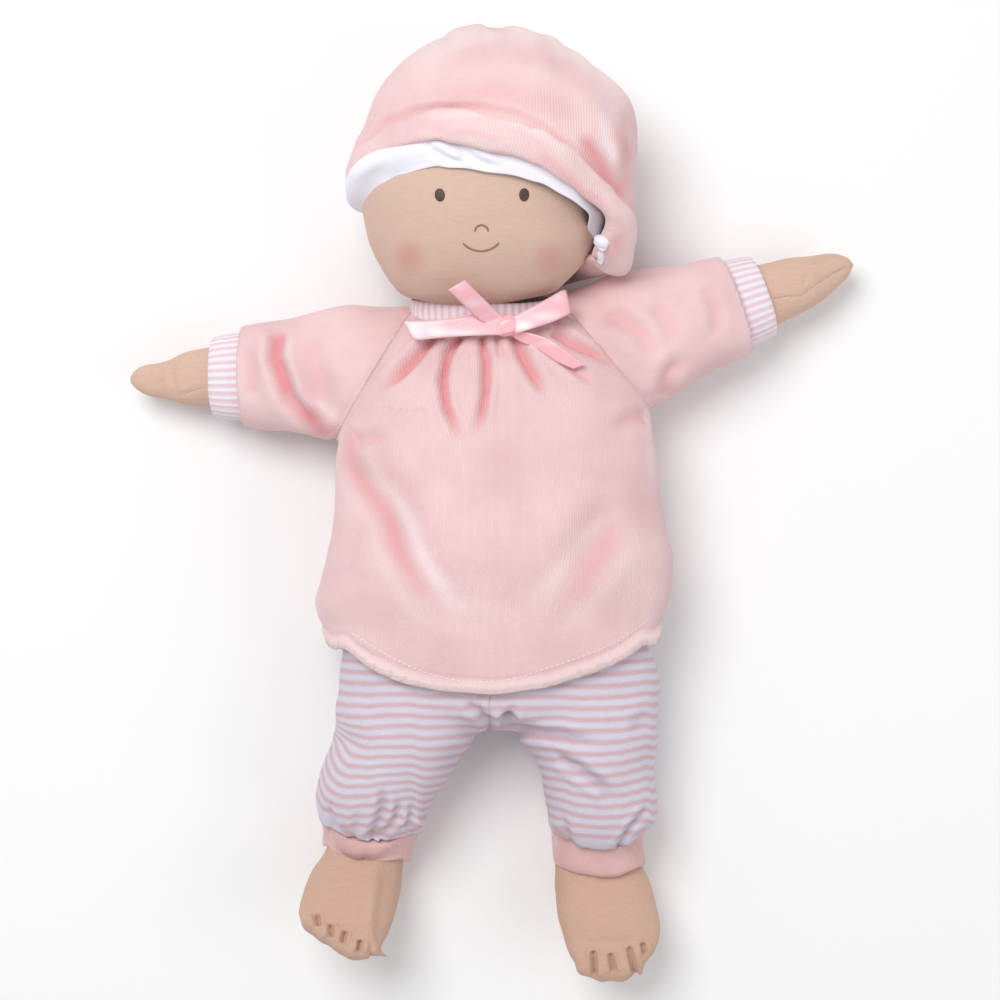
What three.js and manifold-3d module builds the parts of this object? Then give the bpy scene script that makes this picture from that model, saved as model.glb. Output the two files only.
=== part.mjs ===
// Soft baby doll lying on its back, with a removable hat, a smock and trousers.
// Millimetres. +X is the doll's left side, +Y points to its head, +Z is up, out of its face.
// The hip seam is drawn on y = 0 and the floor on z = 0. The doll is centred at the end.
import * as THREE from 'three';
import Module from 'manifold-3d';

const wasm = await Module();
wasm.setup();

// Cloth walls and clearances
const VELOUR = 1.6;
const JERSEY = 1.0;
const RIB_KNIT = 1.4;
const RIBBON = 0.5;
const THREAD = 0.8;
const CLEARANCE = 0.3;
const OVERRUN = 360;

// Turning ranges that the roots of the arms and the mouth of the head are cut clear for
const ARM_LIFT_DEGREES = { low: -10, high: 55 };
const RELIEF_STEP_DEGREES = 14;
const NOD_DEGREES = 10;
const ARMHOLE_ROOM = 1.3;

// A row of an outline table holds: along, first side, second side, front, back.
// The first two are shares of the half width, the last two shares of the depth.

// Stuffed body bag. First side is the doll's right, fronts and backs are heights over the floor
const TORSO = { length: 143, halfWidth: 54, depth: 60 };
const TORSO_OUTLINE_SHARES = [
  [0, 0.88, 0.96, 0.655, 0.63],
  [0.07, 0.94, 1.02, 0.82, 0.06],
  [0.2, 0.94, 1.03, 0.91, 0.06],
  [0.42, 0.93, 1.02, 0.99, 0.06],
  [0.6, 0.89, 0.96, 0.98, 0.06],
  [0.77, 0.79, 0.86, 0.89, 0.06],
  [0.87, 0.78, 0.86, 0.79, 0.07],
  [0.95, 0.72, 0.8, 0.71, 0.11],
  [1, 0.47, 0.38, 0.62, 0.22],
];

// Neck: a turned stub, tied in at its waist, with a round top that the head nods on
const NECK = { ballRadius: 16, waistRadius: 12.5, rootRadius: 14, x: -4, z: 28 };
const NECK_LENGTHS = { root: 13, waist: 6, ball: 13 };

// Head
const HEAD = { length: 93, halfWidth: 42, depth: 67.5, x: -5.3, back: 6.5, chinDrop: 9.5 };
const HEAD_ROUND_SHARES = { start: 0.27, end: 0.4 };
const HEAD_OUTLINE_SHARES = [
  [0, 0.93, 0.93, 0.88, 0.24],
  [0.25, 0.955, 0.955, 0.96, 0.04],
  [0.4, 1, 1, 1, 0],
  [0.6, 0.99, 0.99, 0.985, 0],
  [0.8, 0.92, 0.92, 0.93, 0.03],
  [1, 0.84, 0.84, 0.86, 0.1],
];
const EYE = { width: 3.9, height: 5.1, apart: 30.8, shift: 1.5 };
const EYE_LEVEL_SHARE = 0.436;
const NOSE = { width: 5, rise: 2.3, shift: 1.3 };
const NOSE_LEVEL_SHARE = 0.295;
const MOUTH = { width: 13.1, rise: -3.1, shift: 1 };
const MOUTH_LEVEL_SHARE = 0.247;

// Arms. First side is towards the head, fronts and backs are measured from the spine
const ARM = { halfWidth: 20, depth: 30, seamX: 43.5, seamZ: 22, tipZ: 14, pivotOut: 4 };
const ARM_OUTLINE_SHARES = [
  [0, 0.6, 0.6, 0.02, -0.02],
  [0.1, 0.72, 0.72, 0.33, -0.36],
  [0.3, 0.74, 0.74, 0.4, -0.43],
  [0.55, 0.66, 0.66, 0.36, -0.4],
  [0.67, 0.58, 0.58, 0.3, -0.34],
  [0.78, 0.53, 0.5, 0.27, -0.3],
  [0.88, 0.42, 0.36, 0.23, -0.26],
  [1, 0.26, 0.22, 0.16, -0.18],
];
const ARM_ROUND_SHARES = { start: 0, end: 0.09 };
const LEFT_ARM_POSE = { length: 96.4, neckDrop: 11, lift: 31.4 };
const RIGHT_ARM_POSE = { length: 92.2, neckDrop: 21, lift: -1.5 };

// Sleeves, cut off at the raglan seam and puffed over the cuff
const SLEEVE = { ease: 10, inside: 27, end: 48 };
const SLEEVE_EASE_SHARES = [
  [0, 1.25, 1.4, 2.0, 2.0],
  [0.1, 1.12, 1.15, 1.05, 0.98],
  [0.2, 0.92, 0.92, 0.86, 0.8],
  [0.35, 0.6, 0.6, 0.72, 0.66],
  [0.5, 0.56, 0.56, 0.6, 0.58],
  [0.56, 0.5, 0.5, 0.52, 0.52],
];
const LEFT_RAGLAN = { neckOffset: 28.5, neckDrop: -4, underarmX: 61.5, underarmDrop: 39 };
const RIGHT_RAGLAN = { neckOffset: 28.5, neckDrop: 4, underarmX: 58.5, underarmDrop: 47 };
const CUFF = { bulge: 2.9, lip: 1.2, start: 43.6, end: 59.2 };

// Legs. First side is the outer one. The foot is the last stretch of the same bag, turned up
const LEG = { length: 53, halfWidth: 25, depth: 46, seamZ: 39, spineZ: 24, kneeZ: 22 };
const FOOT = { length: 50.5 };
const LEG_OUTLINE_SHARES = [
  [0, 0.9, 0.9, 0.337, 0.304],
  [0.09, 0.9, 0.9, 0.478, -0.46],
  [0.2, 0.78, 0.78, 0.46, -0.465],
  [0.32, 0.72, 0.72, 0.42, -0.43],
  [0.42, 0.62, 0.62, 0.35, -0.33],
  [0.5, 0.57, 0.57, 0.31, -0.32],
  [0.57, 0.65, 0.65, 0.3, -0.41],
  [0.66, 0.73, 0.73, 0.26, -0.35],
  [0.77, 0.75, 0.75, 0.22, -0.25],
  [0.88, 0.71, 0.71, 0.17, -0.19],
  [1, 0.6, 0.6, 0.12, -0.13],
];
const THIGH_SHARE = 0.18;
const KNEE_SHARE = 0.56;
const LEG_ROUND_SHARES = { start: 0, end: 0.1 };
const LEFT_LEG_POSE = {
  x: 34, kneeOut: 5, ankleOut: 4.5, toeOut: 10, ankleZ: 15.8, footTiltDegrees: 20,
};
const RIGHT_LEG_POSE = {
  x: 31, kneeOut: 11, ankleOut: 15.5, toeOut: 22, ankleZ: 14.4, footTiltDegrees: 41,
};

// Smock: ease of its outer face over the body bag
const SMOCK = { ease: 10, foldDepth: 1.1 };
const SMOCK_TOP_SHARES = { front: 0.97, back: 1.012, first: 0.985, second: 0.97 };
const SMOCK_EASE_SHARES = [
  [0.02, 0.9, 0.7, 1.35, 0.41],
  [0.1, 0.9, 0.65, 0.82, 0.41],
  [0.2, 1.1, 0.66, 0.66, 0.41],
  [0.27, 1.4, 0.88, 0.56, 0.41],
  [0.42, 1.0, 0.98, 0.46, 0.41],
  [0.6, 0.94, 0.88, 0.46, 0.41],
  [0.77, 1.02, 1.1, 0.54, 0.41],
  [0.87, 0.7, 0.72, 0.52, 0.43],
  [1, 0.62, 0.62, 0.62, 0.5],
];
const HEM_SHARES = { front: 0.03, back: 0.13, first: 0.185, second: 0.2 };
const SIDE_SEAM_Z = 26;
const GATHER_COUNT = 11;
const FOLD_SHARES = { start: 0.45, full: 0.95 };

// Neckband
const NECKBAND = { width: 5.6, halfWidth: 25.5, halfDepth: 18.5, frontDrop: 3.2, lift: 2 };

// Satin bow
const BOW = { width: 5.8, x: 5.3, neckDrop: 3.4, knotLength: 7, knotHeight: 5.6, lift: 1.2 };
const LEFT_LOOP = { reach: 33, gape: 3.6, turnDegrees: 184 };
const RIGHT_LOOP = { reach: 24, gape: 4.4, turnDegrees: 27 };
const UPPER_TAIL = { reach: 24, rise: 13, drop: -2.8, turnDegrees: 141 };
const LOWER_TAIL = { reach: 29, rise: 1.5, drop: 2.6, turnDegrees: -27 };

// Trousers
const SEAT = { ease: 2.2 };
const SEAT_EASE_SHARES = [[0, 1, 1, 1, 0.6], [1, 1, 1, 1, 0.6]];
const SEAT_SHARES = { start: 0.2, end: 0.36 };
const HIPS = { top: 28, length: 36, halfWidth: 60, depth: 53, back: 0.6, seamX: -1 };
const HIPS_OVERRUN_SHARE = 0.1;
const HIPS_ROUND_SHARES = { start: 0, end: 0.25 };
const HIPS_OUTLINE_SHARES = [
  [0, 0.93, 0.9, 1.066, 0.06],
  [0.22, 0.96, 0.91, 1.04, 0.055],
  [0.32, 0.985, 0.925, 1.02, 0.03],
  [0.444, 1.02, 0.94, 1, 0.02],
  [0.667, 1.02, 0.94, 0.985, 0],
  [0.861, 0.98, 0.91, 0.95, 0],
  [1, 0.9, 0.84, 0.88, 0.04],
];
const TROUSER_LEG = { ease: 10 };
const TROUSER_LEG_SHARES = { start: -0.03, end: 0.415 };
const TROUSER_LEG_EASE_SHARES = [
  [0, 0.42, 0.42, 1.2, 3.72],
  [0.09, 0.38, 0.38, 0.4, 0.16],
  [0.2, 0.42, 0.42, 0.34, 0.16],
  [0.32, 0.46, 0.46, 0.4, 0.16],
  [0.38, 0.42, 0.42, 0.4, 0.2],
  [0.42, 0.34, 0.34, 0.34, 0.3],
];
const LEG_CUFF = { bulge: 2.0, lip: 0.8, slant: 3 };
const LEG_CUFF_SHARES = { start: 0.385, end: 0.5 };

// Hat, drawn over the head's own sizes so that it always pulls off
const HAT = { length: 91, nape: 6.5, gatherDepth: 1.4 };
const HAT_ROUND_SHARES = { start: 0, end: 0.34 };
const HAT_OUTLINE_SHARES = [
  [0, 1.06, 1.16, 1.02, -0.07],
  [0.3, 1.1, 1.24, 1.03, -0.07],
  [0.5, 1.08, 1.32, 1.03, -0.07],
  [0.7, 1.02, 1.28, 1.02, -0.03],
  [0.85, 0.96, 1.12, 0.98, 0.04],
  [1, 0.8, 0.9, 0.9, 0.16],
];
const HAT_EDGE_SHARES = { front: 0.645, back: 0.13, first: 0.46, second: 0.22 };
const BRIM = { width: 11, thickness: 5.6 };
const LINING_EDGE_SHARES = { front: 0.43, back: 0.06, first: 0.25, second: 0.07 };
const LINING_TUCK_SHARE = 0.12;
const EDGE_RISE_POWER = 1.4;
const EDGE_STEP_SHARE = 0.01;
const CROWN_GATHERS = 9;

// Mesh densities: points around a form and rings along it
const DENSITY = {
  torso: [20, 12], head: [26, 14], arm: [14, 13], leg: [16, 18], neck: [20, 10], knot: [10, 4],
  smockFront: [60, 11], smockBack: [24, 8], sleeve: [18, 7], seat: [20, 2], neckband: [26, 6],
  hips: [26, 4], trouserLeg: [16, 8], ring: [16, 2], hat: [32, 8], brim: [30, 8], lining: [32, 3],
};

const COLOURS = {
  skin: 0xdebea5, velour: 0xf2c6c4, stripe: 0xeed8de, white: 0xf0eefa,
  ribbon: 0xf8bec6, eye: 0x50372c, line: 0x965f5a,
};

const UP = new THREE.Vector3(0, 0, 1);

// Tables are read with a monotone cubic, which keeps every swell and taper without overshoot
function slopeAt(rows, index, column) {
  const ahead = rows[Math.min(index + 1, rows.length - 1)];
  const here = rows[index];
  const behind = rows[Math.max(index - 1, 0)];
  const after = (ahead[column] - here[column]) / (ahead[0] - here[0]);
  const before = (here[column] - behind[column]) / (here[0] - behind[0]);
  if (index === 0) return after;
  if (index === rows.length - 1) return before;
  return before * after > 0 ? (2 * before * after) / (before + after) : 0;
}

function rowAt(rows, share) {
  let index = 0;
  while (index < rows.length - 2 && rows[index + 1][0] < share) index += 1;
  const from = rows[index];
  const to = rows[index + 1];
  const width = to[0] - from[0];
  const u = THREE.MathUtils.clamp((share - from[0]) / width, 0, 1);
  const rise = u * u * (3 - 2 * u);
  return from.map((value, column) => {
    const leaving = slopeAt(rows, index, column) * width * u * (1 - u) * (1 - u);
    const arriving = slopeAt(rows, index + 1, column) * width * u * u * (1 - u);
    return value + (to[column] - value) * rise + leaving - arriving;
  });
}

// A rounded end shrinks the last stretch of a form like the end of an ellipse
function roundness(share, rounds) {
  const fromStart = rounds.start > 0 ? share / rounds.start : 1;
  const fromEnd = rounds.end > 0 ? (1 - share) / rounds.end : 1;
  const near = THREE.MathUtils.clamp(Math.min(fromStart, fromEnd), 0, 1);
  return Math.sqrt(1 - (1 - near) * (1 - near));
}

function formSection(form, share, grow) {
  const inside = THREE.MathUtils.clamp(share, 0, 1);
  const tangent = form.spine.getTangentAt(inside);
  const beyond = (share - inside) * form.spine.getLength() + grow * (2 * inside - 1);
  const centre = form.spine.getPointAt(inside).addScaledVector(tangent, beyond);
  const side = UP.clone().cross(tangent).normalize();
  const up = tangent.clone().cross(side);
  const [, first, second, front, back] = rowAt(form.outlineShares, inside);
  const easeRow = form.easeShares ? rowAt(form.easeShares, inside) : [0, 0, 0, 0, 0];
  const [firstEase, secondEase, frontEase, backEase] = easeRow.slice(1).map((e) => e * (form.ease ?? 0));
  const reach = [first * form.halfWidth + firstEase, second * form.halfWidth + secondEase];
  const height = [front * form.depth + frontEase, back * form.depth - backEase];
  const round = roundness(inside, form.roundShares ?? { start: 0, end: 0 });
  centre.addScaledVector(side, (reach[0] - reach[1]) / 2);
  centre.addScaledVector(up, (height[0] + height[1]) / 2 + (form.back ?? 0));
  const halfWidth = ((reach[0] + reach[1]) / 2) * round + grow;
  const halfHeight = ((height[0] - height[1]) / 2) * round + grow;
  return { centre, side, up, tangent, halfWidth, halfHeight };
}

function superPower(value, power) {
  return Math.sign(value) * Math.abs(value) ** power;
}

// The point of a form's face at an angle: 0 on the first side, a quarter turn on the front
function pointOn(form, share, angle, grow = 0, slant = 0) {
  const section = formSection(form, share, grow);
  const power = 2 / (form.squareness ?? 2.3);
  const across = superPower(Math.cos(angle), power) * section.halfWidth;
  const height = superPower(Math.sin(angle), power) * section.halfHeight;
  const point = section.centre.addScaledVector(section.side, across);
  point.addScaledVector(section.up, height);
  point.addScaledVector(section.tangent, slant * Math.sin(angle));
  point.x *= form.mirror ?? 1;
  return point;
}

// Closed solids from grids of points
function meshOf(points, triangles) {
  const vertProperties = new Float32Array(points.flatMap((p) => [p.x, p.y, p.z]));
  const mesh = new wasm.Mesh({ numProp: 3, vertProperties, triVerts: new Uint32Array(triangles) });
  const solid = new wasm.Manifold(mesh);
  if (solid.volume() >= 0) return solid;
  const flipped = triangles.map((_, i) => triangles[i - (i % 3) + (2 - (i % 3))]);
  return new wasm.Manifold(new wasm.Mesh({ numProp: 3, vertProperties, triVerts: new Uint32Array(flipped) }));
}

function wallBetween(triangles, ringA, ringB, count) {
  for (let i = 0; i < count; i += 1) {
    const next = (i + 1) % count;
    triangles.push(ringA + i, ringA + next, ringB + next);
    triangles.push(ringA + i, ringB + next, ringB + i);
  }
}

function capRing(points, triangles, ring, count, turned) {
  const centre = new THREE.Vector3();
  for (let i = 0; i < count; i += 1) centre.addScaledVector(points[ring + i], 1 / count);
  const hub = points.push(centre) - 1;
  for (let i = 0; i < count; i += 1) {
    const next = (i + 1) % count;
    triangles.push(hub, ring + (turned ? i : next), ring + (turned ? next : i));
  }
}

// A solid through rings of points, closed at both ends
function ringSolid(rings) {
  const count = rings[0].length;
  const points = rings.flat();
  const triangles = [];
  for (let r = 0; r < rings.length - 1; r += 1) wallBetween(triangles, r * count, (r + 1) * count, count);
  capRing(points, triangles, 0, count, false);
  capRing(points, triangles, (rings.length - 1) * count, count, true);
  return meshOf(points, triangles);
}

// A solid whose last ring joins its first one, such as a roll round an opening
function loopSolid(rings) {
  const count = rings[0].length;
  const triangles = [];
  for (let r = 0; r < rings.length; r += 1) {
    wallBetween(triangles, r * count, ((r + 1) % rings.length) * count, count);
  }
  return meshOf(rings.flat(), triangles);
}

// Shares spread evenly, or crowded towards both rounded ends
function spread(from, to, steps, crowded) {
  return Array.from({ length: steps + 1 }, (_, i) => {
    const even = i / steps;
    const eased = (1 - Math.cos(Math.PI * even)) / 2;
    return from + (to - from) * (crowded ? eased : even);
  });
}

function ringAt(form, share, around, grow, slant, fold) {
  return Array.from({ length: around }, (_, i) => {
    const angle = (2 * Math.PI * i) / around;
    return pointOn(form, share, angle, grow + (fold ? fold(share, angle) : 0), slant);
  });
}

// The end rings of a rounded form stay a little open, so that its caps are never points
const TIP_SHARE = 0.004;

function stuffed(form, [around, steps], grow = 0) {
  const rounds = form.roundShares ?? { start: 0, end: 0 };
  const from = rounds.start > 0 ? TIP_SHARE : 0;
  const to = rounds.end > 0 ? 1 - TIP_SHARE : 1;
  return ringSolid(spread(from, to, steps, true).map((s) => ringAt(form, s, around, grow)));
}

// Cloth round a form, from one share to another: outer face at grow, inner face a wall below it
function tube(form, shares, [around, steps], { grow = 0, wall, slant = 0, fold, lip = 0 }) {
  const stations = spread(shares.start, shares.end, steps, false);
  const atEnd = (s) => (s === stations[stations.length - 1] ? -lip : 0);
  const outer = ringSolid(stations.map((s) => ringAt(form, s, around, grow + atEnd(s), slant, fold)));
  const past = (shares.end - shares.start) / steps;
  const inside = [shares.start - past, ...stations, shares.end + past];
  const inner = ringSolid(inside.map((s) => ringAt(form, s, around, grow - wall, slant, fold)));
  return outer.subtract(inner);
}

function boxSolid(min, max) {
  const size = max.clone().sub(min);
  const geometry = new THREE.BoxGeometry(size.x, size.y, size.z);
  geometry.translate((min.x + max.x) / 2, (min.y + max.y) / 2, (min.z + max.z) / 2);
  return solidOf(geometry);
}

// A manifold solid from any closed three.js geometry
function solidOf(geometry) {
  const source = geometry.index ? geometry.toNonIndexed() : geometry;
  const positions = source.getAttribute('position');
  const places = new Map();
  const points = [];
  const triangles = [];
  for (let i = 0; i < positions.count; i += 1) {
    const point = new THREE.Vector3().fromBufferAttribute(positions, i);
    const key = point.toArray().map((value) => Math.round(value * 1e4)).join();
    if (!places.has(key)) places.set(key, points.push(point) - 1);
    triangles.push(places.get(key));
  }
  const whole = [];
  for (let i = 0; i < triangles.length; i += 3) {
    const [a, b, c] = triangles.slice(i, i + 3);
    if (a !== b && b !== c && c !== a) whole.push(a, b, c);
  }
  return meshOf(points, whole);
}

function geometryOf(solid) {
  const mesh = solid.getMesh();
  const positions = [];
  for (let i = 0; i < mesh.numVert; i += 1) {
    positions.push(...mesh.vertProperties.slice(i * mesh.numProp, i * mesh.numProp + 3));
  }
  const geometry = new THREE.BufferGeometry();
  geometry.setAttribute('position', new THREE.Float32BufferAttribute(positions, 3));
  geometry.setIndex(Array.from(mesh.triVerts));
  geometry.computeVertexNormals();
  return geometry;
}

const doll = new THREE.Group();

function addPiece(name, solid, colour, roughness = 0.95) {
  const material = new THREE.MeshStandardMaterial({ color: colour, roughness, metalness: 0 });
  const mesh = new THREE.Mesh(geometryOf(solid), material);
  mesh.name = name;
  doll.add(mesh);
  return mesh;
}

// Only the solid over a height, as for the flats that the doll lies on, or under it
function aboveHeight(solid, height) {
  const low = new THREE.Vector3(-OVERRUN, -OVERRUN, -OVERRUN);
  const high = new THREE.Vector3(OVERRUN, OVERRUN, height);
  return solid.subtract(boxSolid(low, high));
}

function belowHeight(solid, height) {
  const low = new THREE.Vector3(-OVERRUN, -OVERRUN, height);
  const high = new THREE.Vector3(OVERRUN, OVERRUN, OVERRUN);
  return solid.subtract(boxSolid(low, high));
}

// A solid turned about a line through the pivot
function turned(solid, pivot, axis, degrees) {
  const geometry = geometryOf(solid);
  geometry.translate(-pivot.x, -pivot.y, -pivot.z);
  geometry.applyMatrix4(new THREE.Matrix4().makeRotationAxis(axis, THREE.MathUtils.degToRad(degrees)));
  geometry.translate(pivot.x, pivot.y, pivot.z);
  return solidOf(geometry);
}

// A moving solid, less all that its neighbour sweeps through it over a turning range
function clearedFor(solid, neighbour, pivot, axis, { low, high }) {
  const steps = Math.ceil((high - low) / RELIEF_STEP_DEGREES);
  return spread(low, high, steps, false).reduce(
    (left, degrees) => left.subtract(turned(neighbour, pivot, axis, -degrees)),
    solid,
  );
}

// Forms of the stuffed pieces
function lineAlongY(x, from, length) {
  return new THREE.LineCurve3(new THREE.Vector3(x, from, 0), new THREE.Vector3(x, from + length, 0));
}

const torsoForm = {
  ...TORSO, spine: lineAlongY(0, 0, TORSO.length), outlineShares: TORSO_OUTLINE_SHARES, squareness: 2.4,
};

const headStart = TORSO.length + NECK_LENGTHS.waist + NECK_LENGTHS.ball - HEAD.chinDrop;
const headForm = {
  ...HEAD, spine: lineAlongY(HEAD.x, headStart - NECK_LENGTHS.waist, HEAD.length),
  outlineShares: HEAD_OUTLINE_SHARES, roundShares: HEAD_ROUND_SHARES, squareness: 2.15,
};

function armForm(pose, mirror) {
  const reach = Math.sqrt(pose.length ** 2 - pose.lift ** 2);
  const seam = new THREE.Vector3(ARM.seamX, TORSO.length - pose.neckDrop, ARM.seamZ);
  const tip = new THREE.Vector3(ARM.seamX + reach, seam.y + pose.lift, ARM.tipZ);
  const spine = new THREE.LineCurve3(seam, tip);
  return { ...ARM, spine, mirror, outlineShares: ARM_OUTLINE_SHARES, roundShares: ARM_ROUND_SHARES };
}

function legForm(pose, mirror) {
  const tilt = THREE.MathUtils.degToRad(pose.footTiltDegrees);
  const toeY = -LEG.length - FOOT.length * Math.cos(tilt);
  const toeZ = pose.ankleZ + FOOT.length * Math.sin(tilt);
  const spine = new THREE.CatmullRomCurve3([
    new THREE.Vector3(pose.x, -2 * CLEARANCE, LEG.spineZ),
    new THREE.Vector3(pose.x, -LEG.length * THIGH_SHARE, LEG.spineZ),
    new THREE.Vector3(pose.x + pose.kneeOut, -LEG.length * KNEE_SHARE, LEG.kneeZ),
    new THREE.Vector3(pose.x + pose.ankleOut, -LEG.length, pose.ankleZ),
    new THREE.Vector3(pose.x + pose.toeOut, toeY, toeZ),
  ], false, 'centripetal');
  return { ...LEG, spine, mirror, outlineShares: LEG_OUTLINE_SHARES, roundShares: LEG_ROUND_SHARES };
}

const arms = [
  { side: 'left', form: armForm(LEFT_ARM_POSE, 1), raglan: LEFT_RAGLAN, mirror: 1 },
  { side: 'right', form: armForm(RIGHT_ARM_POSE, -1), raglan: RIGHT_RAGLAN, mirror: -1 },
];
const legs = [
  { side: 'left', form: legForm(LEFT_LEG_POSE, 1), mirror: 1 },
  { side: 'right', form: legForm(RIGHT_LEG_POSE, -1), mirror: -1 },
];

// Neck: a revolved profile about the turning axis. The hollow for it flares so that it can nod
function neckSolid(grow, nodDegrees = 0) {
  const { ballRadius, waistRadius, rootRadius } = NECK;
  const ballCentre = NECK_LENGTHS.waist + NECK_LENGTHS.ball;
  const ballFoot = Math.asin(waistRadius / ballRadius);
  const nod = THREE.MathUtils.degToRad(nodDegrees);
  const flared = (radius, depth) => (radius + grow) / Math.cos(nod) + depth * Math.tan(nod);
  const arcStart = ballFoot + nod - Math.PI / 2;
  const profile = new THREE.Path();
  profile.moveTo(0, -NECK_LENGTHS.root - grow);
  profile.lineTo(flared(rootRadius, ballCentre + NECK_LENGTHS.root), -NECK_LENGTHS.root - grow);
  profile.lineTo(flared(waistRadius, ballCentre), 0);
  profile.absarc(0, ballCentre, ballRadius + grow, arcStart, Math.PI / 2, false);
  const points = profile.getPoints(DENSITY.neck[1]);
  points[points.length - 1].x = 0;
  const geometry = new THREE.LatheGeometry(points, DENSITY.neck[0]);
  geometry.translate(NECK.x, TORSO.length, NECK.z);
  return solidOf(geometry);
}

const torsoGrown = stuffed(torsoForm, DENSITY.torso, CLEARANCE);
const headSolid = stuffed(headForm, DENSITY.head).subtract(neckSolid(CLEARANCE, NOD_DEGREES));
const torsoSolid = stuffed(torsoForm, DENSITY.torso).subtract(neckSolid(CLEARANCE));

addPiece('torso', torsoSolid, COLOURS.skin);
addPiece('neck', neckSolid(0), COLOURS.skin);
addPiece('head', headSolid, COLOURS.skin);

// Face: satin-stitched eyes and floss arcs seated on the face
function faceHeight(x, level) {
  const angleSteps = 180;
  let best = 0;
  for (let i = 1; i < angleSteps; i += 1) {
    const point = pointOn(headForm, level, (Math.PI * i) / angleSteps);
    const miss = Math.abs(pointOn(headForm, level, best).x - x);
    if (Math.abs(point.x - x) < miss) best = (Math.PI * i) / angleSteps;
  }
  return pointOn(headForm, level, best);
}

function eyePad(x) {
  const geometry = new THREE.SphereGeometry(1, 16, 8);
  geometry.scale(EYE.width / 2, EYE.height / 2, THREAD);
  const seat = faceHeight(x, EYE_LEVEL_SHARE);
  geometry.translate(seat.x, seat.y, seat.z);
  return solidOf(geometry).subtract(stuffed(headForm, DENSITY.head, CLEARANCE));
}

function flossArc({ width, rise, shift }, levelShare) {
  const steps = 6;
  const points = Array.from({ length: steps + 1 }, (_, i) => {
    const across = (i / steps - 0.5) * 2;
    const drop = rise * (1 - across * across);
    const seat = faceHeight(HEAD.x + shift + (across * width) / 2, levelShare + drop / HEAD.length);
    return seat.add(new THREE.Vector3(0, 0, THREAD / 2 + CLEARANCE));
  });
  const curve = new THREE.CatmullRomCurve3(points);
  const section = new THREE.Shape();
  section.absarc(0, 0, THREAD / 2, 0, 2 * Math.PI, false);
  const options = { steps: steps * 2, bevelEnabled: false, extrudePath: curve, curveSegments: 3 };
  return solidOf(new THREE.ExtrudeGeometry(section, options));
}

addPiece('left_eye', eyePad(HEAD.x + EYE.shift + EYE.apart / 2), COLOURS.eye, 0.6);
addPiece('right_eye', eyePad(HEAD.x + EYE.shift - EYE.apart / 2), COLOURS.eye, 0.6);
addPiece('nose_stitch', flossArc(NOSE, NOSE_LEVEL_SHARE), COLOURS.line, 0.8);
addPiece('mouth_stitch', flossArc(MOUTH, MOUTH_LEVEL_SHARE), COLOURS.line, 0.8);

// A tall box beyond the raglan seam's line, or on the body's side of it
function raglanSolid({ neckOffset, neckDrop, underarmX, underarmDrop }, mirror, beyond) {
  const neckX = mirror > 0 ? NECK.x + neckOffset : neckOffset - NECK.x;
  const neck = new THREE.Vector2(neckX, TORSO.length - neckDrop);
  const underarm = new THREE.Vector2(underarmX, TORSO.length - underarmDrop);
  const along = underarm.clone().sub(neck).normalize();
  const outward = new THREE.Vector2(-along.y, along.x);
  const shift = (beyond ? 1 : -1) * (OVERRUN / 2 - CLEARANCE / 2);
  const geometry = new THREE.BoxGeometry(OVERRUN, OVERRUN, OVERRUN);
  geometry.rotateZ(Math.atan2(outward.y, outward.x));
  geometry.translate(neck.x + outward.x * shift, neck.y + outward.y * shift, 0);
  if (mirror < 0) geometry.scale(-1, 1, 1);
  return solidOf(geometry);
}

// Neckband: a flat rib-knit loop on the smock's top edge, lower at the front
const NECKBAND_SQUARENESS_SHARE = 0.5;

function neckbandRing(angle, grow, sides) {
  const [across, height] = [Math.cos(angle), Math.sin(angle)];
  return Array.from({ length: sides }, (_, k) => {
    const turn = (2 * Math.PI * (k + 0.5)) / sides;
    const out = superPower(Math.cos(turn), NECKBAND_SQUARENESS_SHARE) * (RIB_KNIT / 2 + grow);
    const along = superPower(Math.sin(turn), NECKBAND_SQUARENESS_SHARE) * (NECKBAND.width / 2 + grow);
    const y = TORSO.length + NECKBAND.lift - height * NECKBAND.frontDrop + along;
    const x = NECK.x + across * (NECKBAND.halfWidth + out);
    return new THREE.Vector3(x, y, NECK.z + height * (NECKBAND.halfDepth + out));
  });
}

const neckAngles = spread(0, 2 * Math.PI, DENSITY.neckband[0], false).slice(0, -1);
const neckbandSolid = loopSolid(neckAngles.map((angle) => neckbandRing(angle, 0, DENSITY.neckband[1])));

// The space that the neckband closes, kept free of the sleeves
const neckOpening = ringSolid([-1, 1].map((end) => neckAngles.map((angle) => {
  const x = NECK.x + Math.cos(angle) * (NECKBAND.halfWidth + RIB_KNIT / 2 + CLEARANCE);
  const z = NECK.z + Math.sin(angle) * (NECKBAND.halfDepth + RIB_KNIT / 2 + CLEARANCE);
  const reach = end * (NECKBAND.width / 2 + CLEARANCE);
  const y = TORSO.length + NECKBAND.lift - Math.sin(angle) * NECKBAND.frontDrop + reach;
  return new THREE.Vector3(x, y, z);
})));

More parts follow.
